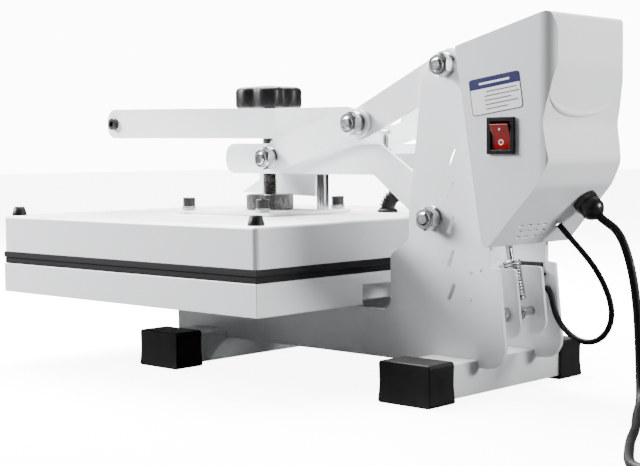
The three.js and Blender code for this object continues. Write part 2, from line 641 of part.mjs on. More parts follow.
const sideX = (y) => boxHalfFront - (y - 297) * Math.tan(sideDraft);
// Local frame of the side wall: +X out of the wall, +Y along it to the rear.
const onSide = (solid) => solid.rotate([0, 0, THREE.MathUtils.radToDeg(sideDraft)])
  .translate([sideX(switchCentre.y), switchCentre.y, switchCentre.z]);
const slopeLean = Math.atan2(185 - 132, 386 - 338);
// Local frame of the sloping bottom: +Z out of the wall, +Y up the slope.
const onSlope = (solid, x, run) => solid.rotate([180 + THREE.MathUtils.radToDeg(slopeLean), 0, 0])
  .translate([x, slopeBottom[0] + run * Math.cos(slopeLean), slopeBottom[1] + run * Math.sin(slopeLean)]);
const glandX = -32;
const glandRun = 54;
const sensorX = -24;
const sensorRun = 24;
const switchWide = 27;
const switchTall = 31;
// A hole or a block in the side wall, centred on the switch.
const switchBlock = (x0, x1, wallY, wallZ) => box(x0, x1,
  -switchWide / 2 + wallY, switchWide / 2 - wallY, -switchTall / 2 + wallZ, switchTall / 2 - wallZ);
const ventPitchX = 12;
const vents = [12, 19, 26].flatMap((run, row) => [-1.5, -0.5, 0.5, 1.5].map((k) =>
  onSlope(box(-3.2, 3.2, -1.1, 1.1, -6, 6),
    10 + (k + row * 0.3) * ventPitchX, run)));
const buttonPitch = 17;
const buttonX = [-1.5, -0.5, 0.5, 1.5].map((k) => k * buttonPitch);
const buttonY = -16;
const panelHalfX = 46;
const panelHalfY = 33;
place('control_box_shell', cut(
  alongZ(planShape(0), 100, 350).intersect(profileSolid(boxProfile)),
  alongZ(planShape(boxWall), 90, 360).intersect(profileSolid(boxInnerProfile)),
  onTop(box(-panelHalfX + 4, panelHalfX - 4, -panelHalfY + 4, panelHalfY - 4, -12, 8)),
  onSide(switchBlock(-8, 8, 1.5, 1.5)),
  onSlope(alongZ(disc(0, 0, 8), -8, 8), glandX, glandRun),
  onSlope(alongZ(disc(0, 0, 4, 12), -8, 8), sensorX, sensorRun),
  ...vents), whitePaint());

// Closing plate between the box's side walls, just behind the tower plates.
const frontLean = [boxFrontBottom[0] - boxFrontTop[0], boxFrontBottom[1] - boxFrontTop[1]];
const frontPoint = (t, back) => [boxFrontTop[0] + frontLean[0] * t + back, boxFrontTop[1] + frontLean[1] * t];
const frontHalf = sideX(boxFrontTop[0]) - boxWall - 1.2;
place('control_box_front', alongX(
  outline([frontPoint(0.045, 3), frontPoint(0.93, 3), frontPoint(0.93, 5), frontPoint(0.045, 5)]),
  -frontHalf + 2, frontHalf - 2), whitePaint());

place('control_board', join(box(-42, 42, 356, 357.6, 208, 292), box(-20, 20, 350, 356.5, 225, 262),
  box(-40, -22, 346, 356.5, 214, 240), box(20, 36, 344, 356.5, 264, 288)), paint(0x1d5b34, 0.6));
place('solid_state_relay', join(box(-18, 34, 356, 374, 180, 202), box(-13, 29, 352, 356.5, 184, 198)),
  paint(0x202226, 0.5));

const screenHole = box(-31, 31, -4, 24, -4, 5);
const screen = cut(box(-34, 34, -6.5, 26.5, -6, 1.2), box(-32, 32, -5, 25, -7, -2));
place('display_panel', onTop(join(
  cut(box(-panelHalfX, panelHalfX, -panelHalfY, panelHalfY, gap, 2.4), screenHole,
    ...buttonX.map((x) => alongZ(disc(x, buttonY, 6.2), -2, 5))),
  screen)), paint(0x22262b, 0.35));
const buttonProfile = [[0, 0], [7.2, 0], [7.2, 1.2], [5.7, 1.2], [5.7, 7], [4.9, 7.8], [0, 7.8]];
buttonX.forEach((x, k) => place(`panel_button_${k + 1}`,
  onTop(turned(buttonProfile, x, buttonY, -3.6, 20)), paint(0xd9dcdf, 0.5)));

// Rocker switch: a bezel in the side wall and a rocker that turns inside it.
const bezelDeep = 16;
const bezelRim = 4.2;
place('rocker_bezel', onSide(cut(
  join(switchBlock(gap, 2.6, 0, 0), switchBlock(-bezelDeep, 1, 1.8, 1.8)),
  switchBlock(-bezelDeep + 2, 5, bezelRim, 3.6))), black());
const rockAngle = 11;
const rockerX = -2;
const rockerRadius = 10.6;
const lift = rockerRadius * Math.tan(THREE.MathUtils.degToRad(rockAngle));
// Drawn in (Z, X) about its pin: round behind, two facets in front.
const rockerBack = Array.from({ length: 9 }, (_, k) => {
  const angle = Math.PI + (Math.PI * k) / 8;
  return new THREE.Vector2(rockerRadius * Math.cos(angle), rockerRadius * Math.sin(angle) * 0.8);
});
const rockerShape = new THREE.Shape([...rockerBack, new THREE.Vector2(rockerRadius, 3 + lift),
  new THREE.Vector2(0, 3), new THREE.Vector2(-rockerRadius, 3 + lift)]);
const rockerWide = switchWide - 2 * (bezelRim + 0.5);
const rockerGeometry = extruded(rockerShape, rockerWide);
rockerGeometry.applyMatrix4(new THREE.Matrix4().makeBasis(
  new THREE.Vector3(0, 0, 1), new THREE.Vector3(1, 0, 0), new THREE.Vector3(0, 1, 0)));
rockerGeometry.translate(0, -rockerWide / 2, 0);
place('power_rocker', onSide(manifoldOf(rockerGeometry).rotate([0, rockAngle, 0]).translate([rockerX, 0, 0])),
  paint(0xc21717, 0.25));

place('cable_gland', onSlope(cut(join(
  turned([[0, 0], [7.6, 0], [7.6, 7], [0, 7]], 0, 0, -6.5, 20),
  alongZ(hexagon(0, 0, 22), gap, 13),
  turned([[0, 0], [10.6, 0], [9.6, 5], [6.6, 9], [0, 9]], 0, 0, 12, 24)),
alongZ(disc(0, 0, cordRadius + 2 * gap, 12), 6, 30)), glandX, glandRun), black());

// ================= limit switch on the left tower plate =================
place('limit_switch', join(
  box(-inside, -inside + 1.5, 301, 326, 84, 114),
  box(-inside + 1, -inside + 8, 313, 325, 88, 108),
  box(-inside + 3, -inside + 5, 324, 331, 90, 93),
  box(-inside + 3, -inside + 5, 324, 331, 102, 105)), black());

// ================= cords =================
const sensorPlace = [sensorX, slopeBottom[0] + sensorRun * Math.cos(slopeLean),
  slopeBottom[1] + sensorRun * Math.sin(slopeLean)];
place('sensor_cable', sweep([
  [sensorPlace[0], sensorPlace[1] + 0.5, sensorPlace[2] - 0.5], [-25, 360, 143], [-25, 367, 136.5],
  [-25, 377, 127],
  [-25, 387, 117], [-25, 396, 105], [-25, 403, 92], [-25, 407, 80], [-25, 407, 68], [-25, 402, 57],
  [-26, 393, 49.5], [-27, 382, 46.5], [-28, 370, 48], [-30, 358, 54], [-32, 348, 63],
  [-34, 342, 73], [-35, 339, 83], [-36, 336, 89.6], [-36.7, 331.8, 91.4]],
sensorRadius, 8, 26), black());
cordParts.push('sensor_cable');

const glandExit = [glandX, slopeBottom[0] + glandRun * Math.cos(slopeLean),
  slopeBottom[1] + glandRun * Math.sin(slopeLean)];
const outward = [0, Math.sin(slopeLean), -Math.cos(slopeLean)];
const exitPoint = (d) => glandExit.map((value, k) => value + outward[k] * d);
const coilCentre = { x: 222, y: 634 };
const ringTop = 2 * coilTube;
const onFloor = cordRadius + 0.2;
place('power_cord', sweep([
  exitPoint(21.6), exitPoint(27), [-32, 406, 149], [-31, 415, 136], [-30, 422, 118], [-29, 427, 98],
  [-28, 430, 78], [-27, 432, 58], [-25, 434, 38], [-21, 437, 20], [-13, 442, 9], [0, 449, onFloor + 0.2],
  [24, 461, onFloor], [54, 477, onFloor], [88, 497, onFloor], [124, 513, onFloor], [156, 531, onFloor],
  [180, 544.5, onFloor], [196, 556, onFloor], [204, 570, onFloor], [206.4, 586.6, onFloor]],
cordRadius, 8, 40), black());
cordParts.push('power_cord');
const coilInner = coilRadius - 11;
const coilOuter = coilRadius + 11;
place('cord_coil', turned([[coilInner, 0], [coilOuter, 0], [coilOuter, ringTop], [coilInner, ringTop],
  [coilInner, 0]], coilCentre.x, coilCentre.y, 0, 40), black());
cordParts.push('cord_coil');
place('mains_plug', join(
  box(coilCentre.x + 52, coilCentre.x + 70, coilCentre.y - 16, coilCentre.y + 16, 0.3, 22),
  box(coilCentre.x + 56, coilCentre.x + 66, coilCentre.y - 32, coilCentre.y - 15, 6, 16),
  box(coilCentre.x + 57, coilCentre.x + 58.6, coilCentre.y + 15, coilCentre.y + 32, 8, 14),
  box(coilCentre.x + 64, coilCentre.x + 65.6, coilCentre.y + 15, coilCentre.y + 32, 8, 14)), black());
cordParts.push('mains_plug');

// The origin stands at the middle of the press's footprint, cords apart.
press.updateMatrixWorld(true);
const bounds = new THREE.Box3();
press.traverse((node) => {
  if (node.isMesh && !cordParts.includes(node.name)) bounds.expandByObject(node);
});
press.position.y = -(bounds.min.y + bounds.max.y) / 2;

export default press;
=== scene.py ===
# Clamshell heat press: looks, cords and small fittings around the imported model.
import math

import bmesh
import bpy
from mathutils import Matrix, Vector
from mathutils.bvhtree import BVHTree
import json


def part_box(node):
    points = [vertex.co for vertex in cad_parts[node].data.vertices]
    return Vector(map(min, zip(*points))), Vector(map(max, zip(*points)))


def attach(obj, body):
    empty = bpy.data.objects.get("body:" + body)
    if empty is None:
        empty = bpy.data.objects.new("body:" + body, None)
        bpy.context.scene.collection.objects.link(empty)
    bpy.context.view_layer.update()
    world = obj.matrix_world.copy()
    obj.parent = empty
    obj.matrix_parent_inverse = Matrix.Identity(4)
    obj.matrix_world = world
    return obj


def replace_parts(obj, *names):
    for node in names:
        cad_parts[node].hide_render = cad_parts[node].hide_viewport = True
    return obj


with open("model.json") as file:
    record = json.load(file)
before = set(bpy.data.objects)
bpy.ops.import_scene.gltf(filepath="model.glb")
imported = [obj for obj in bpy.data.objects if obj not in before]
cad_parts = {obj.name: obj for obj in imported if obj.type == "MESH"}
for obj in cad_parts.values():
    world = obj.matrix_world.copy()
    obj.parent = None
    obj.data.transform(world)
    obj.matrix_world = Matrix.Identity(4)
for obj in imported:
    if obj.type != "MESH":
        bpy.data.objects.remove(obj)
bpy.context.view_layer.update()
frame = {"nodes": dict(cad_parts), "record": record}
mm = 0.001
weld = 1e-6  # metres; points nearer than this are one
slotOf = {part["node"]: part["material_slot"] for part in frame["record"]["subparts"]}
bodyOf = {node: body for body, nodes in frame["record"]["behaviour"]["bodies"].items() for node in nodes}


def middle(node):
    low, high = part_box(node)
    return (low + high) / 2


def turnTo(direction, spot=(0, 0, 0)):
    # local Z along the direction, moved to the spot
    turn = Vector(direction).to_track_quat("Z", "Y").to_matrix().to_4x4()
    return Matrix.Translation(spot) @ turn


cameraView = {"place": (0.9901, 0.9163, 0.2159), "turn": 133.41, "down": 3.43, "roll": -0.55, "lens": 76.2,
              "sensor": 36, "near": 0.05, "far": 60}


def makeCamera():
    data = bpy.data.cameras.new("camera")
    data.lens = cameraView["lens"]
    data.sensor_width = cameraView["sensor"]
    data.clip_start = cameraView["near"]
    data.clip_end = cameraView["far"]
    camera = bpy.data.objects.new("camera", data)
    bpy.context.collection.objects.link(camera)
    upright = Matrix.Rotation(math.radians(cameraView["turn"]), 4, "Z")
    tilt = Matrix.Rotation(math.radians(90 - cameraView["down"]), 4, "X")
    roll = Matrix.Rotation(math.radians(cameraView["roll"]), 4, "Z")
    camera.matrix_world = Matrix.Translation(cameraView["place"]) @ upright @ tilt @ roll
    bpy.context.scene.camera = camera


makeCamera()


def newGroup(name, inputs, outputs):
    group = bpy.data.node_groups.new(name, "ShaderNodeTree")
    for label, kind, value in inputs:
        group.interface.new_socket(name=label, in_out="INPUT", socket_type=kind).default_value = value
    for label, kind in outputs:
        group.interface.new_socket(name=label, in_out="OUTPUT", socket_type=kind)
    return group, group.nodes.new("NodeGroupInput"), group.nodes.new("NodeGroupOutput")


patchNoise = {"detail": 5, "roughness": 0.62, "low": 0.35, "high": 0.68}


def makeMottle():
    # soft patches that shift colour and roughness a little
    group, source, sink = newGroup(
        "mottle",
        [("Color", "NodeSocketColor", (0.8, 0.8, 0.8, 1)),
         ("Patch Color", "NodeSocketColor", (0.7, 0.7, 0.7, 1)),
         ("Scale", "NodeSocketFloat", 20.0), ("Rough Low", "NodeSocketFloat", 0.3),
         ("Rough High", "NodeSocketFloat", 0.5)],
        [("Color", "NodeSocketColor"), ("Roughness", "NodeSocketFloat")])
    nodes, links = group.nodes, group.links
    coords = nodes.new("ShaderNodeTexCoord")
    noise = nodes.new("ShaderNodeTexNoise")
    noise.inputs["Detail"].default_value = patchNoise["detail"]
    noise.inputs["Roughness"].default_value = patchNoise["roughness"]
    spread = nodes.new("ShaderNodeMapRange")
    spread.inputs["From Min"].default_value = patchNoise["low"]
    spread.inputs["From Max"].default_value = patchNoise["high"]
    blend = nodes.new("ShaderNodeMix")
    blend.data_type = "RGBA"
    rough = nodes.new("ShaderNodeMapRange")
    links.new(coords.outputs["Object"], noise.inputs["Vector"])
    links.new(source.outputs["Scale"], noise.inputs["Scale"])
    links.new(noise.outputs["Fac"], spread.inputs["Value"])
    links.new(spread.outputs["Result"], blend.inputs["Factor"])
    links.new(source.outputs["Color"], blend.inputs["A"])
    links.new(source.outputs["Patch Color"], blend.inputs["B"])
    links.new(spread.outputs["Result"], rough.inputs["Value"])
    links.new(source.outputs["Rough Low"], rough.inputs["To Min"])
    links.new(source.outputs["Rough High"], rough.inputs["To Max"])
    links.new(blend.outputs["Result"], sink.inputs["Color"])
    links.new(rough.outputs["Result"], sink.inputs["Roughness"])
    return group


grainDetail = 3


def makeGrain():
    # fine height pattern: round for paint and rubber, stretched for brushed metal
    group, source, sink = newGroup(
        "grain",
        [("Scale", "NodeSocketFloat", 800.0), ("Stretch", "NodeSocketVector", (1, 1, 1)),
         ("Pores", "NodeSocketFloat", 0.0)],
        [("Height", "NodeSocketFloat")])
    nodes, links = group.nodes, group.links
    coords = nodes.new("ShaderNodeTexCoord")
    stretch = nodes.new("ShaderNodeVectorMath")
    stretch.operation = "MULTIPLY"
    noise = nodes.new("ShaderNodeTexNoise")
    noise.inputs["Detail"].default_value = grainDetail
    pores = nodes.new("ShaderNodeTexVoronoi")
    blend = nodes.new("ShaderNodeMix")
    links.new(coords.outputs["Object"], stretch.inputs[0])
    links.new(source.outputs["Stretch"], stretch.inputs[1])
    for texture in (noise, pores):
        links.new(stretch.outputs["Vector"], texture.inputs["Vector"])
        links.new(source.outputs["Scale"], texture.inputs["Scale"])
    links.new(source.outputs["Pores"], blend.inputs["Factor"])
    links.new(noise.outputs["Fac"], blend.inputs["A"])
    links.new(pores.outputs["Distance"], blend.inputs["B"])
    links.new(blend.outputs["Result"], sink.inputs["Height"])
    return group


mottle = makeMottle()
grain = makeGrain()


def makeMaterial(name, look):
    material = bpy.data.materials.new(name)
    material.use_nodes = True
    nodes, links = material.node_tree.nodes, material.node_tree.links
    shader = nodes["Principled BSDF"]
    patches = nodes.new("ShaderNodeGroup")
    patches.node_tree = mottle
    patches.inputs["Color"].default_value = (*look["color"], 1)
    shade = look.get("patch", [c * 0.93 for c in look["color"]])
    patches.inputs["Patch Color"].default_value = (*shade, 1)
    patches.inputs["Scale"].default_value = look.get("patchScale", 14)
    patches.inputs["Rough Low"].default_value = look["rough"][0]
    patches.inputs["Rough High"].default_value = look["rough"][1]
    links.new(patches.outputs["Color"], shader.inputs["Base Color"])
    links.new(patches.outputs["Roughness"], shader.inputs["Roughness"])
    fine = nodes.new("ShaderNodeGroup")
    fine.node_tree = grain
    fine.inputs["Scale"].default_value = look.get("grain", 700)
    fine.inputs["Stretch"].default_value = look.get("stretch", (1, 1, 1))
    fine.inputs["Pores"].default_value = look.get("pores", 0)
    bump = nodes.new("ShaderNodeBump")
    bump.inputs["Strength"].default_value = look.get("bump", 0.15)
    bump.inputs["Distance"].default_value = look.get("bumpDepth", 0.0002)
    links.new(fine.outputs["Height"], bump.inputs["Height"])
    links.new(bump.outputs["Normal"], shader.inputs["Normal"])
    shader.inputs["Metallic"].default_value = look.get("metal", 0)
    shader.inputs["Coat Weight"].default_value = look.get("coat", 0)
    shader.inputs["Coat Roughness"].default_value = look.get("coatRough", 0.15)
    shader.inputs["Sheen Weight"].default_value = look.get("sheen", 0)
    shader.inputs["Specular IOR Level"].default_value = look.get("shine", 0.5)
    return material


looks = {
    "white_paint": {"color": (0.77, 0.785, 0.79), "patch": (0.74, 0.757, 0.765), "rough": (0.30, 0.38),
                    "grain": 900, "bump": 0.10, "coat": 0.25, "coatRough": 0.2},
    "foot_rubber": {"color": (0.003, 0.003, 0.0031), "patch": (0.006, 0.0058, 0.0056), "rough": (0.36, 0.52),
                    "shine": 0.2, "grain": 500, "bump": 0.25, "patchScale": 30},
    "silicone": {"color": (0.006, 0.006, 0.0065), "rough": (0.6, 0.72), "shine": 0.15, "grain": 350,
                 "bump": 0.3},
    "zinc_steel": {"color": (0.56, 0.57, 0.59), "patch": (0.4, 0.41, 0.42), "rough": (0.16, 0.3), "metal": 1,
                   "patchScale": 90, "grain": 600, "stretch": (6, 1, 1), "bump": 0.12},
    "rod_chrome": {"color": (0.6, 0.61, 0.62), "patch": (0.5, 0.51, 0.52), "rough": (0.08, 0.16), "metal": 1,
                   "patchScale": 60, "bump": 0.03},
    "turned_steel": {"color": (0.25, 0.245, 0.24), "patch": (0.15, 0.148, 0.145), "rough": (0.24, 0.4),
                     "metal": 1, "patchScale": 80, "grain": 900, "stretch": (1, 1, 8), "bump": 0.15},
    "screw_steel": {"color": (0.16, 0.155, 0.15), "patch": (0.1, 0.095, 0.09), "rough": (0.25, 0.45),
                    "metal": 1, "patchScale": 120, "bump": 0.1},
    "plate_coating": {"color": (0.006, 0.006, 0.0062), "rough": (0.5, 0.6), "shine": 0.2, "bump": 0.1},
    "element_metal": {"color": (0.35, 0.36, 0.37), "rough": (0.3, 0.5), "metal": 1},
    "board_wool": {"color": (0.78, 0.75, 0.68), "patch": (0.66, 0.62, 0.55), "rough": (0.85, 0.95),
                   "grain": 260, "bump": 0.5},
    "knob_plastic": {"color": (0.006, 0.006, 0.0062), "patch": (0.009, 0.009, 0.0092), "rough": (0.34, 0.48),
                     "shine": 0.2, "patchScale": 40, "grain": 1400, "bump": 0.12},
    "grip_foam": {"color": (0.006, 0.006, 0.0062), "patch": (0.014, 0.014, 0.0145), "rough": (0.86, 0.97),
                  "shine": 0.2, "patchScale": 160, "grain": 1100, "pores": 0.8, "bump": 0.7,
                  "bumpDepth": 0.0004, "sheen": 0.25},
    "panel_film": {"color": (0.05, 0.07, 0.11), "patch": (0.06, 0.08, 0.12), "rough": (0.2, 0.28),
                   "coat": 0.3, "bump": 0.03},
    "button_plastic": {"color": (0.62, 0.64, 0.67), "rough": (0.4, 0.5), "grain": 1200, "bump": 0.1},
    "bezel_plastic": {"color": (0.005, 0.005, 0.0052), "patch": (0.009, 0.009, 0.0092), "rough": (0.25, 0.38),
                      "shine": 0.4, "grain": 1300, "bump": 0.08},
    "rocker_plastic": {"color": (0.26, 0.001, 0.002), "patch": (0.17, 0.001, 0.001), "rough": (0.14, 0.22),
                       "patchScale": 70, "coat": 0.5, "coatRough": 0.08, "bump": 0.03},
    "circuit_board": {"color": (0.03, 0.16, 0.07), "rough": (0.3, 0.45)},
    "cable_rubber": {"color": (0.006, 0.006, 0.0062), "patch": (0.011, 0.011, 0.0112), "rough": (0.4, 0.52),
                     "shine": 0.14, "patchScale": 60, "grain": 900, "bump": 0.12},
    "printWhite": {"color": (0.86, 0.86, 0.86), "rough": (0.35, 0.45), "bump": 0.02},
    "printBlue": {"color": (0.010, 0.013, 0.085), "rough": (0.3, 0.4), "bump": 0.02},
    "printGrey": {"color": (0.09, 0.1, 0.13), "rough": (0.4, 0.5), "bump": 0.02},
    "digitGreen": {"color": (0.2, 0.75, 0.3), "rough": (0.3, 0.4), "bump": 0.02},
    "tieFabric": {"color": (0.03, 0.03, 0.032), "rough": (0.8, 0.95), "grain": 900, "pores": 1, "bump": 0.6},
}
materials = {name: makeMaterial(name, look) for name, look in looks.items()}
for node, piece in frame["nodes"].items():
    piece.data.materials.clear()
    piece.data.materials.append(materials[slotOf[node]])
print("materials ready:", len(materials))


def sized(outline):
    # points in millimetres to metres
    return [tuple(value * mm for value in point) for point in outline]


def finishMesh(bm, name, body, material, smoothAngle=38, weighted=False):
    bmesh.ops.recalc_face_normals(bm, faces=bm.faces)
    limit = math.radians(smoothAngle)
    for face in bm.faces:
        face.smooth = True
    for edge in bm.edges:
        edge.smooth = len(edge.link_faces) == 2 and edge.calc_face_angle(0) < limit
    mesh = bpy.data.meshes.new(name)
    bm.to_mesh(mesh)
    bm.free()
    mesh.materials.append(materials[material])
    piece = bpy.data.objects.new(name, mesh)
    bpy.context.collection.objects.link(piece)
    if weighted:
        even = piece.modifiers.new("even", "WEIGHTED_NORMAL")
        even.keep_sharp = True
    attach(piece, body)
    return piece


def gather(target, part, place=None):
    # moves a finished part into the piece that it belongs to
    if place is not None:
        bmesh.ops.transform(part, matrix=place, verts=part.verts)
    bmesh.ops.recalc_face_normals(part, faces=part.faces)
    holder = bpy.data.meshes.new("holder")
    part.to_mesh(holder)
    part.free()
    target.from_mesh(holder)
    bpy.data.meshes.remove(holder)


def turned(profile, steps, closed=False):
    # a profile of (radius, height) spun about Z
    bm = bmesh.new()
    points = [bm.verts.new((radius, 0, height)) for radius, height in profile]
    pairs = list(zip(points, points[1:])) + ([(points[-1], points[0])] if closed else [])
    edges = [bm.edges.new(pair) for pair in pairs]
    bmesh.ops.spin(bm, geom=points + edges, cent=(0, 0, 0), axis=(0, 0, 1), angle=2 * math.pi, steps=steps,
                   use_merge=True)
    bmesh.ops.remove_doubles(bm, verts=bm.verts, dist=weld)
    return bm


def thread(radius, depth, pitch, length, steps):
    # one helical flank pair, welded to the next turn at its root
    bm = bmesh.new()
    root = radius - depth
    points = [bm.verts.new(spot) for spot in ((root, 0, 0), (radius, 0, pitch / 2), (root, 0, pitch))]
    edges = [bm.edges.new(pair) for pair in zip(points, points[1:])]
    turns = max(1, int(length / pitch) - 1)
    bmesh.ops.spin(bm, geom=points + edges, cent=(0, 0, 0), axis=(0, 0, 1), dvec=(0, 0, pitch / steps),
                   angle=2 * math.pi * turns, steps=steps * turns)
    bmesh.ops.remove_doubles(bm, verts=bm.verts, dist=weld)
    return bm


def hexed(bm, across):
    # six flats cut from a turned blank, which leaves the curved chamfers of a real nut
    for k in range(6):
        angle = math.radians(60 * k)
        flat = Vector((math.cos(angle), math.sin(angle), 0))
        cut = bmesh.ops.bisect_plane(bm, geom=bm.verts[:] + bm.edges[:] + bm.faces[:],
                                     plane_co=flat * across / 2, plane_no=flat, clear_outer=True)
        rim = [item for item in cut["geom_cut"] if isinstance(item, bmesh.types.BMEdge)]
        bmesh.ops.edgeloop_fill(bm, edges=rim)
    return bm


nutShape = {"face": 0.47, "chamfer": 0.066, "steps": 48}  # face and chamfer are shares of the width


def nut(across, height):
    corner, face, chamfer = across / math.sqrt(3), across * nutShape["face"], across * nutShape["chamfer"]
    outline = [(0, 0), (face, 0), (corner, chamfer), (corner, height - chamfer), (face, height), (0, height)]
    return hexed(turned(outline, nutShape["steps"]), across)


def roundCorners(bm, edges, offset, segments):
    bmesh.ops.bevel(bm, geom=edges, offset=offset, segments=segments, profile=0.5, affect="EDGES",
                    material=-1, clamp_overlap=True)


def block(low, high, edge=0.0, segments=3):
    bm = bmesh.new()
    bmesh.ops.create_cube(bm, size=1)
    size = [b - a for a, b in zip(low, high)]
    centre = [(a + b) / 2 for a, b in zip(low, high)]
    bmesh.ops.scale(bm, vec=size, verts=bm.verts)
    bmesh.ops.translate(bm, vec=centre, verts=bm.verts)
    if edge:
        roundCorners(bm, bm.edges[:], edge, segments)
    return bm


def bar(halfLong, halfWide, thick):
    # a flat printed mark lying on XY
    return block((-halfLong * mm, -halfWide * mm, 0), (halfLong * mm, halfWide * mm, thick * mm))


footFlare = {"levels": (0.18, 0.45, 0.8), "lip": 0.045, "waist": 0.02, "waistReach": 1.1}


def flare(bm):
    # moulded feet: waisted sides and a lip that spreads on the floor
    centre = sum((v.co for v in bm.verts), Vector()) / len(bm.verts)
    top = max(v.co.z for v in bm.verts)
    for level in footFlare["levels"]:
        bmesh.ops.bisect_plane(bm, geom=bm.verts[:] + bm.edges[:] + bm.faces[:], plane_co=(0, 0, level * top),
                               plane_no=(0, 0, 1))
    for vert in bm.verts:
        share = vert.co.z / top
        waist = math.sin(math.pi * min(1, share * footFlare["waistReach"]))
        grow = footFlare["lip"] * (1 - share) ** 4 - footFlare["waist"] * waist
        vert.co.x += (vert.co.x - centre.x) * grow
        vert.co.y += (vert.co.y - centre.y) * grow


softEdge = {"weld": 2e-6, "flat": 1, "corner": 32, "smooth": 50}  # weld in metres, angles in degrees


def softCopy(node, edge, segments=2, shape=None):
    # the same solid with its real edge radius
    bm = bmesh.new()
    bm.from_mesh(frame["nodes"][node].data)
    bmesh.ops.remove_doubles(bm, verts=bm.verts, dist=softEdge["weld"])
    bmesh.ops.dissolve_limit(bm, angle_limit=math.radians(softEdge["flat"]), verts=bm.verts, edges=bm.edges)
    limit = math.radians(softEdge["corner"])
    corners = [e for e in bm.edges if len(e.link_faces) == 2 and e.calc_face_angle(0) > limit]
    roundCorners(bm, corners, edge, segments)
    if shape:
        shape(bm)
    piece = finishMesh(bm, node + "_body", bodyOf[node], slotOf[node], softEdge["smooth"], weighted=True)
    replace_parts(piece, node)


def ringAndEdges(grown):
    # the new points and the new edges between them, from an extrusion
    ring = [item for item in grown if isinstance(item, bmesh.types.BMVert)]
    edges = [item for item in grown if isinstance(item, bmesh.types.BMEdge)]
    return ring, [edge for edge in edges if all(vert in ring for vert in edge.verts)]


def loft(path, radii, segments):
    # a tube of rings carried along a path, capped at both ends
    bm = bmesh.new()
    spots = [Vector(p) for p in path]
    last = len(spots) - 1
    ahead = [(spots[min(k + 1, last)] - spots[max(k - 1, 0)]).normalized() for k in range(len(spots))]
    ring = bmesh.ops.create_circle(bm, cap_ends=True, segments=segments, radius=1)["verts"]
    places = []
    turn = ahead[0].to_track_quat("Z", "Y")
    for k, spot in enumerate(spots):
        if k:
            turn = ahead[k - 1].rotation_difference(ahead[k]) @ turn
        size = Matrix.Diagonal((*[radii[k]] * 3, 1))
        places.append(Matrix.Translation(spot) @ turn.to_matrix().to_4x4() @ size)
    bmesh.ops.transform(bm, matrix=places[0], verts=ring)
    edges = bm.edges[:]
    for before, after in zip(places, places[1:]):
        ring, edges = ringAndEdges(bmesh.ops.extrude_edge_only(bm, edges=edges)["geom"])
        bmesh.ops.transform(bm, matrix=after @ before.inverted(), verts=ring)
    bmesh.ops.edgeloop_fill(bm, edges=edges)
    return bm


mains = {"length": 1.8, "thick": 7.4 * mm, "coilTurns": 5.375, "coilStart": 210, "coilOuter": 45.1 * mm,
         "coilInner": 30 * mm, "layer": 7.5 * mm, "lift": 0.2 * mm, "turnPoints": 16}
mainsRoute = [(-32, 284.26, 157.5), (-32, 288.3, 153.9), (-32, 300, 149), (-31, 309, 136), (-30, 316, 118),
              (-29, 321, 98), (-28, 324, 78), (-27, 326, 58), (-25, 328, 38), (-21, 331, 20), (-13, 336, 9),
              (0, 343, 4.1), (24, 355, 3.9), (54, 371, 3.9), (88, 391, 3.9), (124, 407, 3.9), (156, 425, 3.9),
              (180, 438.5, 3.9), (196, 450, 3.9), (203, 464, 3.9), (202, 480, 3.9), (197.5, 496, 3.9)]
mainsTail = [(26, 46, 17.6), (41, 47, 15.4)]  # from the middle of the coil, off its last turn


def coilPoint(turn):
    # layer 1 winds in, layer 2 winds out on top of it, layer 3 starts back in
    spread = mains["coilOuter"] - mains["coilInner"]
    stages = [(0, 2, mains["coilOuter"], -spread, 0, 0), (2, 0.35, mains["coilInner"], 0, 0, 1),
              (2.35, 2, mains["coilInner"], spread, 1, 0), (4.35, 0.35, mains["coilOuter"], 0, 1, 1),
              (4.7, 1, mains["coilOuter"], -spread / 2, 2, 0)]
    start, span, radius, change, layer, rise = [stage for stage in stages if turn >= stage[0] - 1e-9][-1]
    share = (turn - start) / span
    radius += change * share
    climb = rise * (0.5 - 0.5 * math.cos(math.pi * share))
    height = mains["thick"] / 2 + mains["lift"] + mains["layer"] * (layer + climb)
    angle = math.radians(mains["coilStart"]) - 2 * math.pi * turn
    centre = middle("cord_coil")
    return Vector((centre.x + radius * math.cos(angle), centre.y + radius * math.sin(angle), height))


def makeCurve(name, points, thick, body, material, nodes):
    data = bpy.data.curves.new(name, "CURVE")
    data.dimensions = "3D"
    data.bevel_depth = thick / 2
    data.bevel_resolution = 4
    data.use_fill_caps = True
    line = data.splines.new("NURBS")
    line.points.add(len(points) - 1)
    for point, spot in zip(line.points, points):
        point.co = (*spot, 1)
    line.order_u = 4
    line.use_endpoint_u = True
    line.resolution_u = 4
    data.materials.append(materials[material])
    piece = bpy.data.objects.new(name, data)
    bpy.context.collection.objects.link(piece)
    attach(piece, body)
    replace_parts(piece, *nodes)
    return piece


plug = {"half": 16, "round": 4.5, "axis": 10.7, "sink": 0.4, "pinSpread": 3.5, "pinHalf": 0.8, "pinTip": 32,
        "pinRoot": 15.5, "pinDrop": 3, "pinRound": 0.5,
        "relief": [(0, 0), (6.5, 0), (7.2, 0), (7.0, 3), (5.6, 3.4), (5.6, 4.8), (6.6, 5.2), (6.3, 8),
                   (5.0, 8.4), (5.0, 9.8), (5.9, 10.2), (5.2, 14.5), (4.4, 16), (0, 16)]}


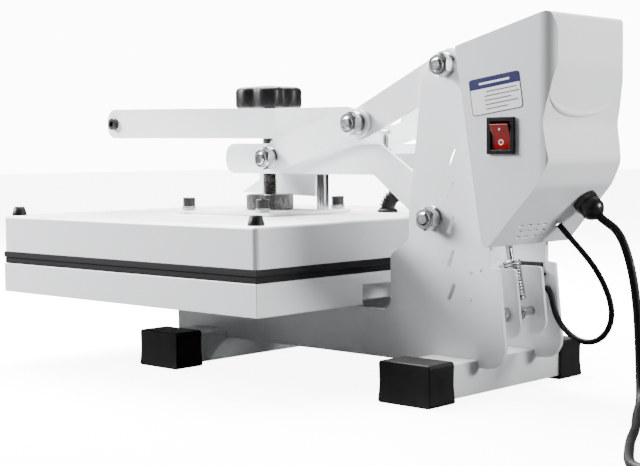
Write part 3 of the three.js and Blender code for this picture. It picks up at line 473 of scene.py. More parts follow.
def makePlug():
    # generic two-pin plug lying beside the coil, tail towards +Y
    low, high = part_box("mains_plug")
    centre = (low + high) / 2
    half, axis = plug["half"] * mm, low.z + plug["axis"] * mm
    shell = bmesh.new()
    gather(shell, block((low.x, centre.y - half, low.z), (high.x, centre.y + half, high.z),
                        plug["round"] * mm, 4))
    gather(shell, turned(sized(plug["relief"]), 28),
           turnTo((0, 1, 0), (centre.x, centre.y + half - plug["sink"] * mm, axis)))
    shell = finishMesh(shell, "plug_shell", "frame", "bezel_plastic")
    pins = bmesh.new()
    wide, drop = plug["pinHalf"] * mm, plug["pinDrop"] * mm
    tip, root = centre.y - plug["pinTip"] * mm, centre.y - plug["pinRoot"] * mm
    for side in (-1, 1):
        x = centre.x + side * plug["pinSpread"] * mm
        gather(pins, block((x - wide, tip, axis - drop), (x + wide, root, axis + drop),
                           plug["pinRound"] * mm, 2))
    pins = finishMesh(pins, "plug_pins", "frame", "zinc_steel")
    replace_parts(shell, "mains_plug")
    return shell, pins


tie = {"inner": 26, "outer": 50.2, "half": 5, "low": 0.9, "high": 23.4, "round": 5, "wall": 0.8, "turn": 150}


def makeTie():
    # hook-and-loop band round the coil
    centre = middle("cord_coil")
    half = tie["half"] * mm
    band = block((tie["inner"] * mm, -half, tie["low"] * mm), (tie["outer"] * mm, half, tie["high"] * mm))
    corners = [e for e in band.edges if abs(e.verts[0].co.y - e.verts[1].co.y) > half]
    roundCorners(band, corners, tie["round"] * mm, 5)
    ends = [f for f in band.faces if abs(f.normal.y) > 0.9]
    bmesh.ops.delete(band, geom=ends, context="FACES")
    bmesh.ops.transform(band, verts=band.verts, matrix=Matrix.Translation((centre.x, centre.y, 0))
                        @ Matrix.Rotation(math.radians(tie["turn"]), 4, "Z"))
    strap = finishMesh(band, "cord_tie", "frame", "tieFabric")
    wall = strap.modifiers.new("wall", "SOLIDIFY")
    wall.thickness = tie["wall"] * mm
    wall.offset = 0
    return strap


def makeMainsCord():
    steps = mains["turnPoints"]
    coil = [coilPoint(turn / steps) for turn in range(1, int(mains["coilTurns"] * steps) + 1)]
    low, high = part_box("mains_plug")
    entry = Vector(((low.x + high.x) / 2, high.y, low.z + plug["axis"] * mm))
    centre = middle("cord_coil")
    tail = [Vector((centre.x + x * mm, centre.y + y * mm, z * mm)) for x, y, z in mainsTail]
    tail += [Vector((entry.x - 6 * mm, entry.y + 12 * mm, 12.6 * mm)), entry + Vector((0, 5 * mm, 0)),
             entry - Vector((0, 1 * mm, 0))]
    points = [Vector(spot) * mm for spot in mainsRoute] + coil + tail
    flex = makeCurve("mains_lead", points, mains["thick"], "frame", "cable_rubber",
                     ["power_cord", "cord_coil"])
    shell, pins = makePlug()
    strap = makeTie()


sensor = {"length": 0.2, "thick": 5.2 * mm}
sensorRoute = [(-24, 248.6, 149.3), (-25, 254, 143), (-25, 261, 136.5), (-25, 271, 127), (-25, 281, 117),
               (-25, 290, 105), (-25, 297, 92), (-25, 301, 80), (-25, 301, 68), (-25, 296, 57),
               (-26, 287, 49.5), (-27, 276, 46.5), (-28, 264, 48), (-30, 252, 54), (-32, 242, 63),
               (-34, 236, 73), (-35, 233, 83), (-36, 230, 89.6), (-36.7, 225.8, 91.4)]


def makeSensorCable():
    points = [Vector(spot) * mm for spot in sensorRoute]
    lead = makeCurve("sensor_lead", points, sensor["thick"], "frame", "cable_rubber", ["sensor_cable"])


makeMainsCord()
makeSensorCable()
print("cords laid")


# edge radius of each sheet, plate and moulded solid, in millimetres
plateEdge = {"crossbar_front": 1.6, "crossbar_rear": 1.6, "tower_plate_right": 0.5, "tower_plate_left": 0.5,
             "tower_front_web": 0.4, "platen_bracket": 0.6, "lower_platen": 0.7, "spring_bracket": 0.5,
             "control_box_front": 0.4, "arm_plate_right": 0.5, "arm_plate_left": 0.5, "arm_core": 0.8,
             "mounting_plate": 0.6, "handle_plate_right": 0.5, "handle_plate_left": 0.5, "toggle_link": 0.5,
             "control_box_shell": 0.7, "foot_front_right": 2.2, "foot_front_left": 2.2,
             "foot_rear_right": 2.2,
             "foot_rear_left": 2.2, "silicone_pad": 0.25, "heat_plate": 0.25, "arm_spring_lever": 0.5,
             "spring_anchor_bolt": 0.6, "rocker_bezel": 0.5, "display_panel": 0.5, "spring_hook": 0.4,
             "limit_switch": 0.4}
for node, edge in plateEdge.items():
    softCopy(node, edge * mm, shape=flare if node.startswith("foot_") else None)


cover = {"corner": 5.5, "cornerSegments": 6, "rim": 3.2, "rimSegments": 4, "wall": 1.6}


def makeCover():
    low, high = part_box("upper_cover")
    shell = block(low, high)
    uprights = [e for e in shell.edges if abs(e.verts[0].co.z - e.verts[1].co.z) > 1 * mm]
    roundCorners(shell, uprights, cover["corner"] * mm, cover["cornerSegments"])
    rim = [e for e in shell.edges if min(v.co.z for v in e.verts) > high.z - 0.1 * mm]
    roundCorners(shell, rim, cover["rim"] * mm, cover["rimSegments"])
    under = [f for f in shell.faces if f.normal.z < -0.9]
    bmesh.ops.delete(shell, geom=under, context="FACES")
    piece = finishMesh(shell, "cover_shell", "platen", "white_paint")
    wall = piece.modifiers.new("wall", "SOLIDIFY")
    wall.thickness = cover["wall"] * mm
    wall.offset = -1
    even = piece.modifiers.new("even", "WEIGHTED_NORMAL")
    even.keep_sharp = True
    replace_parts(piece, "upper_cover")
    return low, high


coverLow, coverHigh = makeCover()
print("sheet metal done")


# millimetres; plateFace is how far from the middle the plates' outer faces are
bolt = {"shaft": 6, "across": 19, "nut": 9, "head": 7, "plateFace": 45, "gap": 0.3, "tipRadius": 5.2,
        "tipChamfer": 0.8, "thread": 1.75, "threadDepth": 0.8,
        "washers": ((11, 1.8), (9.6, 2.2)),  # radius and thickness, flat then split
        "insert": [(5.9, 0), (7.6, 0), (7.4, 1.3), (6.2, 1.3)],
        "headWasher": [(6.3, 0), (10.7, 0), (11, 0.3), (11, 1.6), (6.3, 1.6)]}
spacer = {"start": 35.4, "outline": [(6.2, 0), (10.5, 0), (10.5, 5.2), (6.2, 5.2)]}


def nutSet(target, centre, side, face, tip):
    # flat washer, split washer and nut on a plate face, with the thread standing out
    along = turnTo((side, 0, 0), (side * face, centre.y, centre.z))
    gap, start = bolt["gap"] * mm, 0
    inner = bolt["shaft"] * mm + gap
    for radius, height in sized(bolt["washers"]):
        ring = turned([(inner, 0), (radius - gap, 0), (radius, gap), (radius, height - 0.4 * mm),
                       (radius - 0.4 * mm, height), (inner, height)], 40, closed=True)
        gather(target, ring, along @ Matrix.Translation((0, 0, start + gap)))
        start += height
    start += gap
    gather(target, nut(bolt["across"] * mm, bolt["nut"] * mm), along @ Matrix.Translation((0, 0, start)))
    top = start + bolt["nut"] * mm
    length = tip - face - top
    radius, chamfer = bolt["tipRadius"] * mm, bolt["tipChamfer"] * mm
    end = [(0, 0), (radius, 0), (radius, length - chamfer), (radius - chamfer, length), (0, length)]
    outside = along @ Matrix.Translation((0, 0, top))
    gather(target, turned(end, 28), outside)
    gather(target, turned(sized(bolt["insert"]), 32, closed=True), outside)
    ridge = thread(bolt["shaft"] * mm, bolt["threadDepth"] * mm, bolt["thread"] * mm, length, 24)
    gather(target, ridge, outside)


def shaftOf(radius, length, steps=28):
    return turned([(0, 0), (radius, 0), (radius, length), (0, length)], steps)


def makeStud(node):
    low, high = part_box(node)
    side = 1 if low.x > 0 else -1
    centre = (low + high) / 2
    inner, tip = sorted((abs(low.x), abs(high.x)))
    face = bolt["plateFace"] * mm
    stud = bmesh.new()
    gather(stud, shaftOf(bolt["shaft"] * mm, face - inner),
           turnTo((side, 0, 0), (side * inner, centre.y, centre.z)))
    if inner < spacer["start"] * mm:
        gather(stud, turned(sized(spacer["outline"]), 36, closed=True),
               turnTo((side, 0, 0), (side * spacer["start"] * mm, centre.y, centre.z)))
    nutSet(stud, centre, side, face, tip)
    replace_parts(finishMesh(stud, node + "_set", bodyOf[node], "zinc_steel", 18), node)


def makePivotBolt(node):
    low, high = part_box(node)
    centre = (low + high) / 2
    face = bolt["plateFace"] * mm
    whole = bmesh.new()
    gather(whole, shaftOf(bolt["shaft"] * mm, 2 * face), turnTo((1, 0, 0), (-face, centre.y, centre.z)))
    nutSet(whole, centre, 1, face, high.x)
    gather(whole, turned(sized(bolt["headWasher"]), 40, closed=True),
           turnTo((-1, 0, 0), (-face - bolt["gap"] * mm, centre.y, centre.z)))
    gather(whole, nut(bolt["across"] * mm, bolt["head"] * mm),
           turnTo((-1, 0, 0), (-face - 2 * mm, centre.y, centre.z)))
    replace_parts(finishMesh(whole, node + "_set", bodyOf[node], "zinc_steel", 18), node)


for name in ("handle_stud_right", "handle_stud_left", "toggle_stud_right", "toggle_stud_left"):
    makeStud(name)
for name in ("arm_pivot_bolt", "link_pivot_bolt"):
    makePivotBolt(name)


capScrew = {"chamfer": 0.5, "depth": 0.55, "steps": 40}  # the depth is a share of the height


def socketHead(radius, height, key):
    # cap screw head with its hexagon recess
    cut = capScrew["chamfer"] * mm
    outline = [(0, 0), (radius, 0), (radius, height - cut), (radius - cut, height), (0, height)]
    bm = turned(outline, capScrew["steps"])
    top = [v for v in bm.verts if v.co.z > height - 0.01 * mm and v.co.xy.length < 0.1 * mm]
    bmesh.ops.delete(bm, geom=top, context="VERTS")
    rim = [e for e in bm.edges if len(e.link_faces) == 1]
    inner = bmesh.ops.create_circle(bm, cap_ends=False, segments=6, radius=key / math.sqrt(3))["verts"]
    bmesh.ops.translate(bm, vec=(0, 0, height), verts=inner)
    lip = [e for e in bm.edges if all(v in inner for v in e.verts)]
    bmesh.ops.bridge_loops(bm, edges=rim + lip)
    deep = bmesh.ops.extrude_edge_only(bm, edges=lip)["geom"]
    floor = [item for item in deep if isinstance(item, bmesh.types.BMVert)]
    bmesh.ops.translate(bm, vec=(0, 0, -capScrew["depth"] * height), verts=floor)
    bmesh.ops.contextual_create(bm, geom=floor)
    return bm


mount = {"inset": 5, "endGap": 55, "across": 13, "nut": 2.9, "nutBase": 0.2, "washer": 7.4,
         "washerThick": 0.8, "washerBase": 3.1, "head": 6.4, "headHeight": 9, "headBase": 4, "key": 6}


def makeMountBolts():
    low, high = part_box("mounting_plate")
    inset = mount["inset"] * mm
    reach = (high.y - low.y) / 2 - mount["endGap"] * mm
    screws, nuts = bmesh.new(), bmesh.new()
    for x in (low.x + inset, high.x - inset):
        for y in (low.y + reach, high.y - reach):
            gather(nuts, nut(mount["across"] * mm, mount["nut"] * mm),
                   Matrix.Translation((x, y, high.z + mount["nutBase"] * mm)))
            gather(nuts, shaftOf(mount["washer"] * mm, mount["washerThick"] * mm, 32),
                   Matrix.Translation((x, y, high.z + mount["washerBase"] * mm)))
            gather(screws, socketHead(mount["head"] * mm, mount["headHeight"] * mm, mount["key"] * mm),
                   Matrix.Translation((x, y, high.z + mount["headBase"] * mm)))
    finishMesh(screws, "mount_screws", "platen", "bezel_plastic")
    finishMesh(nuts, "mount_nuts", "platen", "zinc_steel")


bumper = {"inset": 12,
          "outline": [(0, 0), (7.5, 0), (7.5, 1.6), (5.6, 8.2), (4.6, 9), (2.2, 9), (1.9, 7.6), (0, 7.6)]}


def makeBumpers():
    cones = bmesh.new()
    inset = bumper["inset"] * mm
    for x in (coverLow.x + inset, coverHigh.x - inset):
        for y in (coverLow.y + inset, coverHigh.y - inset):
            gather(cones, turned(sized(bumper["outline"]), 36), Matrix.Translation((x, y, coverHigh.z)))
    finishMesh(cones, "corner_bumpers", "platen", "foot_rubber")


makeMountBolts()
makeBumpers()


grip = {"rod": 6, "rodHalf": 65.5, "screwAt": 70.2, "screw": 6.2, "screwHeight": 5, "key": 5, "bore": 6.3,
        "ends": ((2.5, 0), (0.8, 0.8), (0, 3)), "waists": ((0.985, 0.7), (0.98, 1))}


def makeHandleBar():
    centre = middle("handle_bar")
    rod = bmesh.new()
    half = grip["rodHalf"] * mm
    gather(rod, shaftOf(grip["rod"] * mm, 2 * half), turnTo((1, 0, 0), (-half, centre.y, centre.z)))
    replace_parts(finishMesh(rod, "handle_rod", "handle", "zinc_steel"), "handle_bar")
    caps = bmesh.new()
    for side in (-1, 1):
        gather(caps, socketHead(grip["screw"] * mm, grip["screwHeight"] * mm, grip["key"] * mm),
               turnTo((side, 0, 0), (side * grip["screwAt"] * mm, centre.y, centre.z)))
    finishMesh(caps, "handle_screws", "handle", "bezel_plastic")
    low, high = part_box("handle_grip")
    half, radius = (high.x - low.x) / 2, (high.z - low.z) / 2
    outline = [(grip["bore"] * mm, 0)] + [(radius - cut * mm, height * mm) for cut, height in grip["ends"]]
    outline += [(radius * share, half * place) for share, place in grip["waists"]]
    outline += [(r, 2 * half - h) for r, h in reversed(outline[:-1])]
    sleeve = bmesh.new()
    gather(sleeve, turned(outline, 56, closed=True), turnTo((1, 0, 0), (-half, centre.y, centre.z)))
    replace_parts(finishMesh(sleeve, "grip_sleeve", "handle", "grip_foam"), "handle_grip")


makeHandleBar()
print("fasteners and handle done")


# rings are (share of the radius, height) from the underside up
knob = {"lobes": 6, "waist": 0.15, "narrow": 2.6, "turn": 15, "steps": 144,
        "rings": [(0.80, 0), (0.95, 0.2), (0.985, 1.2), (1.0, 3.2), (1.0, 16), (0.985, 18.4), (0.94, 20.2),
                  (0.86, 21.2), (0.6, 22), (0.34, 22.6), (0.31, 22.1), (0.29, 22.1)],
        "cap": [(0, 23), (8.6, 23), (9.8, 22.5), (9.8, 21.8), (0, 21.8)]}


def makeKnob():
    low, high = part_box("pressure_knob")
    place = Matrix.Translation(((low.x + high.x) / 2, (low.y + high.y) / 2, low.z))
    star = bmesh.new()
    rim = bmesh.ops.create_circle(star, cap_ends=False, segments=knob["steps"], radius=1)["verts"]
    for vert in rim:
        angle = math.atan2(vert.co.y, vert.co.x) + math.radians(knob["turn"])
        wave = 0.5 - 0.5 * math.cos(knob["lobes"] * angle)
        vert.co *= 1 - knob["waist"] * wave ** knob["narrow"]
    size = knob["rings"][0][0] * (high.x - low.x) / 2
    bmesh.ops.transform(star, verts=rim, matrix=Matrix.Diagonal((size, size, 1, 1)))
    edges = bottom = star.edges[:]
    for (before, start), (after, end) in zip(knob["rings"], knob["rings"][1:]):
        ring, edges = ringAndEdges(bmesh.ops.extrude_edge_only(star, edges=edges)["geom"])
        size = Matrix.Diagonal((after / before, after / before, 1, 1))
        bmesh.ops.transform(star, verts=ring, matrix=Matrix.Translation((0, 0, (end - start) * mm)) @ size)
    bmesh.ops.edgeloop_fill(star, edges=edges)
    bmesh.ops.edgeloop_fill(star, edges=bottom)
    whole = bmesh.new()
    gather(whole, star, place)
    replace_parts(finishMesh(whole, "knob_star", "knob", "knob_plastic", 45), "pressure_knob")
    disc = bmesh.new()
    gather(disc, turned(sized(knob["cap"]), 40), place)
    finishMesh(disc, "knob_cap", "knob", "bezel_plastic")


def upright(node):
    # radius and length of a standing round node, and the place of its lower end
    low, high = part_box(node)
    foot = Matrix.Translation(((low.x + high.x) / 2, (low.y + high.y) / 2, low.z))
    return (high.x - low.x) / 2, high.z - low.z, foot


screw = {"core": 1.1, "depth": 1.2, "pitch": 2}


def makeScrew():
    radius, length, place = upright("pressure_screw")
    whole = bmesh.new()
    gather(whole, shaftOf(radius - screw["core"] * mm, length, 32), place)
    gather(whole, thread(radius, screw["depth"] * mm, screw["pitch"] * mm, length, 28), place)
    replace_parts(finishMesh(whole, "screw_thread", "knob", "screw_steel", 30), "pressure_screw")


collar = {"bore": 8, "edge": 0.8, "lowRim": 0.96, "topRim": 0.965, "dishRim": 12.5, "dish": 11.8,
          "dishDepth": 1.2, "steps": 180, "knurl": 0.962}


def makeCollar():
    # knurled thrust collar that the screw turns in
    radius, height, place = upright("screw_socket")
    bore, edge, floor = collar["bore"] * mm, collar["edge"] * mm, height - collar["dishDepth"] * mm
    ring = turned([(bore, 0), (radius * collar["lowRim"], 0), (radius, edge), (radius, height - edge),
                   (radius * collar["topRim"], height), (collar["dishRim"] * mm, height),
                   (collar["dish"] * mm, floor), (bore, floor)], collar["steps"], closed=True)
    step = 2 * math.pi / collar["steps"]
    for vert in ring.verts:
        if vert.co.xy.length > radius * 0.99 and round(math.atan2(vert.co.y, vert.co.x) / step) % 2:
            vert.co.xy *= collar["knurl"]
    whole = bmesh.new()
    gather(whole, ring, place)
    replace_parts(finishMesh(whole, "thrust_collar", "platen", "turned_steel", 20), "screw_socket")


rodChamfer = 1.2


def makeRod():
    radius, length, place = upright("guide_rod")
    cut = rodChamfer * mm
    outline = [(0, 0), (radius, 0), (radius, length - cut), (radius - cut, length), (0, length)]
    whole = bmesh.new()
    gather(whole, turned(outline, 40), place)
    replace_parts(finishMesh(whole, "guide_pin", "platen", "rod_chrome"), "guide_rod")


boot = {"foot": 10.5, "flange": [(0, 0), (10.5, 0), (10.5, 1.6), (9.6, 2.6), (7.6, 3.2), (0, 3.2)], "base": 3,
        "points": 29, "lean": 80, "reach": 15, "sideways": -0.35, "squash": 0.9, "radius": 7.0, "rib": 1.7,
        "taper": 1.6}


def makeBoot():
    # ribbed elbow, leaning to the rear
    low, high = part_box("lead_boot")
    foot = Vector((high.x - boot["foot"] * mm, low.y + boot["foot"] * mm, low.z))
    whole = bmesh.new()
    gather(whole, turned(sized(boot["flange"]), 40), Matrix.Translation(foot))
    reach = boot["reach"] * mm
    along = Vector((boot["sideways"], 1, 0)).normalized()
    path, radii = [], []
    for k in range(boot["points"]):
        share = k / (boot["points"] - 1)
        lean = math.radians(boot["lean"]) * share
        rise = Vector((0, 0, boot["base"] * mm)) + Vector((0, 0, reach * math.sin(lean)))
        path.append(foot + rise + along * reach * (1 - math.cos(lean)) * boot["squash"])
        rib = 1 if k % 4 < 2 else 0
        radii.append((boot["radius"] + boot["rib"] * rib - boot["taper"] * share) * mm)
    gather(whole, loft(path, radii, 28))
    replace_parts(finishMesh(whole, "boot_elbow", "platen", "knob_plastic", 50), "lead_boot")


stop = {"core": 2.5, "radius": 3, "depth": 0.6, "pitch": 1, "across": 10, "head": 4, "lockNut": 4.5,
        "lockBase": 12.4}


def makeStopScrew():
    length, foot = upright("stop_screw")[1:]
    shaft = length - stop["head"] * mm
    whole = bmesh.new()
    gather(whole, shaftOf(stop["core"] * mm, shaft, 20), foot)
    gather(whole, thread(stop["radius"] * mm, stop["depth"] * mm, stop["pitch"] * mm, shaft, 16), foot)
    gather(whole, nut(stop["across"] * mm, stop["head"] * mm), foot @ Matrix.Translation((0, 0, shaft)))
    gather(whole, nut(stop["across"] * mm, stop["lockNut"] * mm),
           foot @ Matrix.Translation((0, 0, stop["lockBase"] * mm)))
    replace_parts(finishMesh(whole, "stop_bolt", "arm", "zinc_steel", 30), "stop_screw")


makeKnob()
makeScrew()
makeCollar()
makeRod()
makeBoot()
makeStopScrew()
print("screw and knob done")


springCoil = {"mean": 7.2, "wire": 1.25, "pitch": 2.75, "start": 12, "top": 46, "steps": 24,
              "hook": [(0, 0, 6), (4.5, 0, 4), (6.2, 0, 0), (4.5, 0, -4.4), (0, 0, -6.2), (-4.5, 0, -4.4),
                       (-6.2, 0, 0), (-4.8, 0, 5), (-2, 0, 9), (3, 0, 11), (7.2, 0, 12.5)]}


def makeSpring():
    anchor = middle("spring_anchor_bolt")
    anchor.x = 0
    slide = [joint for joint in frame["record"]["behaviour"]["joints"] if joint["name"] == "spring_slide"][0]
    place = turnTo(-Vector(slide["axis"]), anchor)
    coil = bmesh.new()
    wire, steps = springCoil["wire"] * mm, springCoil["steps"]
    ring = bmesh.ops.create_circle(coil, cap_ends=False, segments=10, radius=wire)["verts"]
    start = Matrix.Translation((springCoil["mean"] * mm, 0, springCoil["start"] * mm))
    bmesh.ops.transform(coil, verts=ring, matrix=start @ Matrix.Rotation(math.radians(90), 4, "X"))
    turns = (springCoil["top"] - springCoil["start"]) / springCoil["pitch"]
    bmesh.ops.spin(coil, geom=coil.verts[:] + coil.edges[:], cent=(0, 0, 0), axis=(0, 0, 1),
                   dvec=(0, 0, springCoil["pitch"] * mm / steps), angle=2 * math.pi * turns,
                   steps=int(steps * turns))
    whole = bmesh.new()
    gather(whole, coil, place)
    turnUp = Matrix.Rotation(math.radians(90), 4, "Z")
    path = [turnUp @ (Vector(spot) * mm) for spot in springCoil["hook"]]
    gather(whole, loft(path, [wire] * len(path), 12), place)
    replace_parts(finishMesh(whole, "spring_coil", "spring", "zinc_steel", 60), "return_spring")


makeSpring()


# the box's right wall leans in by `inward` over `along`, and the bezel stands proud of it
boxSide = {"inward": 7, "along": 107, "proud": 2.6, "halfBezel": 13.5}
sideDraft = math.atan2(boxSide["inward"], boxSide["along"])
bezelMiddle = middle("rocker_bezel")
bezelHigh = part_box("rocker_bezel")[1]


def onSide(along, up, out=0.0):
    # a place on the box's right wall, in millimetres from the middle of the switch
    quarter = math.radians(90)
    wall = Matrix.Rotation(sideDraft + quarter, 4, "Z") @ Matrix.Rotation(quarter, 4, "X")
    depth = (boxSide["proud"] + math.tan(sideDraft) * boxSide["halfBezel"]) * mm
    face = Vector((bezelHigh.x - depth, bezelMiddle.y, bezelMiddle.z))
    return Matrix.Translation(face) @ wall @ Matrix.Translation((along * mm, up * mm, out * mm))


def sticker(size, corner, place, name, material):
    # a flat plate with rounded corners, given as width, height and thickness
    width, height, thick = size
    plate = bar(width / 2, height / 2, thick)
    uprights = [e for e in plate.edges if abs(e.verts[0].co.z - e.verts[1].co.z) > thick * mm / 2]
    if corner:
        roundCorners(plate, uprights, corner * mm, 5)
    whole = bmesh.new()
    gather(whole, plate, place)
    finishMesh(whole, name, "frame", material)


def moved(x, y, z):
    return Matrix.Translation((x * mm, y * mm, z * mm))


label = {"along": -5.8, "up": 35, "tilt": 8.1, "border": (50, 31, 0.15), "face": (48.6, 29.6, 0.1),
         "band": (49.4, 8.4, 0.14), "bandUp": 10.6, "ruleTop": 3.2, "ruleStep": 3.6, "rule": (0.45, 0.1),
         "rules": ((30, 6), (34, 6), (26, 2), (32, 5), (22, 0)), "title": (15, 0.9, 0.1)}


def makeLabel():
    # rating label without any words
    base = onSide(label["along"], label["up"], 0.05) @ Matrix.Rotation(math.radians(label["tilt"]), 4, "Z")
    band = base @ moved(0, label["bandUp"], 0.12)
    sticker(label["border"], 3, base, "label_border", "printBlue")
    sticker(label["face"], 2.5, base @ moved(0, 0, 0.1), "label_face", "printWhite")
    sticker(label["band"], 0, band, "label_band", "printBlue")
    rows = bmesh.new()
    for k, (width, shift) in enumerate(label["rules"]):
        gather(rows, bar(width / 2, *label["rule"]),
               base @ moved(shift, label["ruleTop"] - label["ruleStep"] * k, 0.16))
    finishMesh(rows, "label_rules", "frame", "printGrey")
    title = bmesh.new()
    gather(title, bar(*label["title"]), band @ moved(0, 0, 0.12))
    finishMesh(title, "label_title", "frame", "printWhite")


rocker = {"edge": 0.5, "markUp": 5.6, "tilt": -22, "bar": (0.5, 2.6, 0.25), "barOut": 3.35, "ringOut": 0.95,
          "ring": [(1.7, 0), (2.4, 0), (2.4, 0.25), (1.7, 0.25)]}


def makeRocker():
    softCopy("power_rocker", rocker["edge"] * mm, 3)
    # plain on and off marks: a bar above, a ring below
    marks = bmesh.new()
    top = onSide(0, rocker["markUp"]) @ Matrix.Rotation(math.radians(rocker["tilt"]), 4, "X")
    gather(marks, bar(*rocker["bar"]), top @ moved(0, 0, rocker["barOut"]))
    ring = turned(sized(rocker["ring"]), 32, closed=True)
    gather(marks, ring, onSide(0, -rocker["markUp"], rocker["ringOut"]))
    finishMesh(marks, "rocker_marks", "rocker", "printWhite")


gland = {"out": (0, 0.7412, -0.6713), "length": 21.3, "across": 22,
         "neck": [(0, -6), (7.4, -6), (7.4, 0.4), (0, 0.4)],
         "nut": [(0, 0.2), (11, 0.2), (12.6, 1), (12.6, 5), (11, 6), (0, 6)],
         "dome": [(0, 5.6), (10.2, 5.6), (10.6, 6.4), (10.6, 12.6), (10.2, 14.4), (9, 16.6), (7.2, 18.6),
                  (5.2, 20.2), (4.4, 20.9), (4.0, 20.9), (4.0, 19), (0, 19)],
         "grooveLow": 6.5, "grooveHigh": 12.7, "groove": 0.955}


def makeGland():
    out = Vector(gland["out"])
    place = turnTo(out, Vector(mainsRoute[0]) * mm - out * gland["length"] * mm)
    whole = bmesh.new()
    gather(whole, turned(sized(gland["neck"]), 32), place)
    gather(whole, hexed(turned(sized(gland["nut"]), 48), gland["across"] * mm), place)
    dome = turned(sized(gland["dome"]), 72)
    for vert in dome.verts:
        grooved = round(math.atan2(vert.co.y, vert.co.x) / math.radians(5)) % 3 == 0
        if grooved and gland["grooveLow"] * mm < vert.co.z < gland["grooveHigh"] * mm:
            vert.co.xy *= gland["groove"]
    gather(whole, dome, place)
    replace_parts(finishMesh(whole, "gland_body", "frame", "bezel_plastic", 30), "cable_gland")


# y is `ahead` of the place where the box's top is z high; its slope is rise over run
panel = {"y": 245, "z": 305, "rise": 25, "run": 91, "ahead": 44, "window": (62, 28, 0.3), "windowUp": 10,
         "figures": ((16, "180"), (4, "060")), "figureStep": 7.5, "marks": 4, "markStep": 17, "markUp": -27,
         "mark": (3, 0.4, 0.12), "buttonEdge": 0.4}
panelTilt = math.atan2(panel["rise"], panel["run"])


def onPanel(x, y, out):
    face = Vector((0, panel["y"] * mm, (panel["z"] + panel["ahead"] * math.tan(panelTilt)) * mm))
    return Matrix.Translation(face) @ Matrix.Rotation(panelTilt, 4, "X") @ moved(x, y, out)


# bars lit for each figure, and where each bar is: x, y, upright
litBars = {"0": "abcdef", "1": "bc", "6": "afgedc", "8": "abcdefg"}
barPlaces = {"a": (0, 4, 0), "b": (2, 2, 1), "c": (2, -2, 1), "d": (0, -4, 0), "e": (-2, -2, 1),
             "f": (-2, 2, 1), "g": (0, 0, 0)}


def makePanelFittings():
    sticker(panel["window"], 1, onPanel(0, panel["windowUp"], 1.25), "display_window", "bezel_plastic")
    digits = bmesh.new()
    for row, figures in panel["figures"]:
        for k, figure in enumerate(figures):
            for name in litBars[figure]:
                x, y, standing = barPlaces[name]
                size = (0.45, 1.6, 0.15) if standing else (1.6, 0.45, 0.15)
                gather(digits, bar(*size), onPanel((k - 1) * panel["figureStep"] + x, row + y, 1.6))
    finishMesh(digits, "display_figures", "frame", "digitGreen")
    marks = bmesh.new()
    for k in range(panel["marks"]):
        x = (k - (panel["marks"] - 1) / 2) * panel["markStep"]
        gather(marks, bar(*panel["mark"]), onPanel(x, panel["markUp"], 2.42))
    finishMesh(marks, "panel_marks", "frame", "printWhite")
    for k in range(panel["marks"]):
        softCopy(f"panel_button_{k + 1}", panel["buttonEdge"] * mm, 3)


# x, z and radius of the curl
ledge = [(56, 262, 0.5), (52, 257, 1.5), (45, 252.5, 2.6), (36, 249, 3.2), (24, 246.8, 3.4), (10, 245.8, 3.2),
         (-6, 246.2, 2.9), (-20, 248, 2.3), (-32, 251, 1.5), (-42, 255, 0.5)]
ledgeSink = 0.35  # share of its radius that lies in the wall


def makeLedge():
    # raised curl that crosses the back of the box
    wall = bmesh.new()
    wall.from_mesh(frame["nodes"]["control_box_shell"].data)
    shell = BVHTree.FromBMesh(wall)
    wall.free()
    path, radii = [], []
    for x, z, radius in sized(ledge):
        spot = shell.ray_cast(Vector((x, 0.5, z)), Vector((0, -1, 0)))[0]
        if spot:
            path.append(spot - Vector((0, ledgeSink * radius, 0)))
            radii.append(radius)
    finishMesh(loft(path, radii, 20), "box_ledge", "frame", "white_paint", 60)


makeLedge()
makeLabel()
makeRocker()
makeGland()
makePanelFittings()
print("control box fitted")


# the paper looks pale to the camera and throws little light back up
paper = {"size": 12, "rough": 0.8, "bounce": (0.045, 0.046, 0.048, 1), "seen": (0.97, 0.97, 0.97, 1),
         "glow": 8}


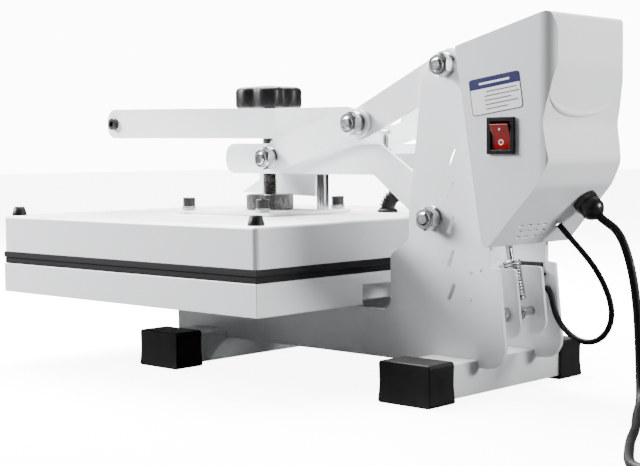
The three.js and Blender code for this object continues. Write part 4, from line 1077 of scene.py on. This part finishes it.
def makeFloor():
    bm = bmesh.new()
    bmesh.ops.create_grid(bm, x_segments=1, y_segments=1, size=paper["size"])
    mesh = bpy.data.meshes.new("floor")
    bm.to_mesh(mesh)
    bm.free()
    floor = bpy.data.objects.new("floor", mesh)
    bpy.context.collection.objects.link(floor)
    material = bpy.data.materials.new("floorPaper")
    material.use_nodes = True
    nodes, links = material.node_tree.nodes, material.node_tree.links
    shader = nodes["Principled BSDF"]
    shader.inputs["Roughness"].default_value = paper["rough"]
    sight = nodes.new("ShaderNodeLightPath")
    tone = nodes.new("ShaderNodeMix")
    tone.data_type = "RGBA"
    tone.inputs["A"].default_value = paper["bounce"]
    tone.inputs["B"].default_value = paper["seen"]
    links.new(sight.outputs["Is Camera Ray"], tone.inputs["Factor"])
    links.new(tone.outputs["Result"], shader.inputs["Base Color"])
    glow = nodes.new("ShaderNodeMath")
    glow.operation = "MULTIPLY"
    glow.inputs[1].default_value = paper["glow"]
    links.new(sight.outputs["Is Camera Ray"], glow.inputs[0])
    links.new(glow.outputs["Value"], shader.inputs["Emission Strength"])
    shader.inputs["Emission Color"].default_value = (1, 1, 1, 1)
    mesh.materials.append(material)


lamps = {
    "overhead": {"spot": (-0.3, -0.62, 1.35), "target": (-0.05, -0.2, 0.1), "size": 1.3, "power": 240},
    "rightKey": {"spot": (1.0, -1.35, 0.98), "target": (0, 0, 0.2), "size": 0.7, "power": 112,
                 "color": (0.985, 0.99, 1)},
    "boxLight": {"spot": (-0.5, 1.3, 0.6), "target": (0, 0.28, 0.28), "size": 0.4, "power": 1.6,
                 "spread": 34},
}
sky = {"light": 0.1, "seen": 12}


def makeLamp(name, lamp):
    data = bpy.data.lights.new(name, "AREA")
    data.shape = "RECTANGLE"
    data.size = data.size_y = lamp["size"]
    data.energy = lamp["power"]
    data.color = lamp.get("color", (1, 1, 1))
    data.spread = math.radians(lamp.get("spread", 180))
    light = bpy.data.objects.new(name, data)
    bpy.context.collection.objects.link(light)
    toward = (Vector(lamp["target"]) - Vector(lamp["spot"])).to_track_quat("-Z", "Y")
    light.matrix_world = Matrix.Translation(lamp["spot"]) @ toward.to_matrix().to_4x4()


def makeSky():
    world = bpy.data.worlds.new("studio")
    world.use_nodes = True
    nodes, links = world.node_tree.nodes, world.node_tree.links
    background = nodes["Background"]
    sight = nodes.new("ShaderNodeLightPath")
    level = nodes.new("ShaderNodeMapRange")
    level.inputs["To Min"].default_value = sky["light"]
    level.inputs["To Max"].default_value = sky["seen"]
    links.new(sight.outputs["Is Camera Ray"], level.inputs["Value"])
    links.new(level.outputs["Result"], background.inputs["Strength"])
    background.inputs["Color"].default_value = (1, 1, 1, 1)
    bpy.context.scene.world = world


makeFloor()
for name, lamp in lamps.items():
    makeLamp(name, lamp)
makeSky()
print("floor and lights set")
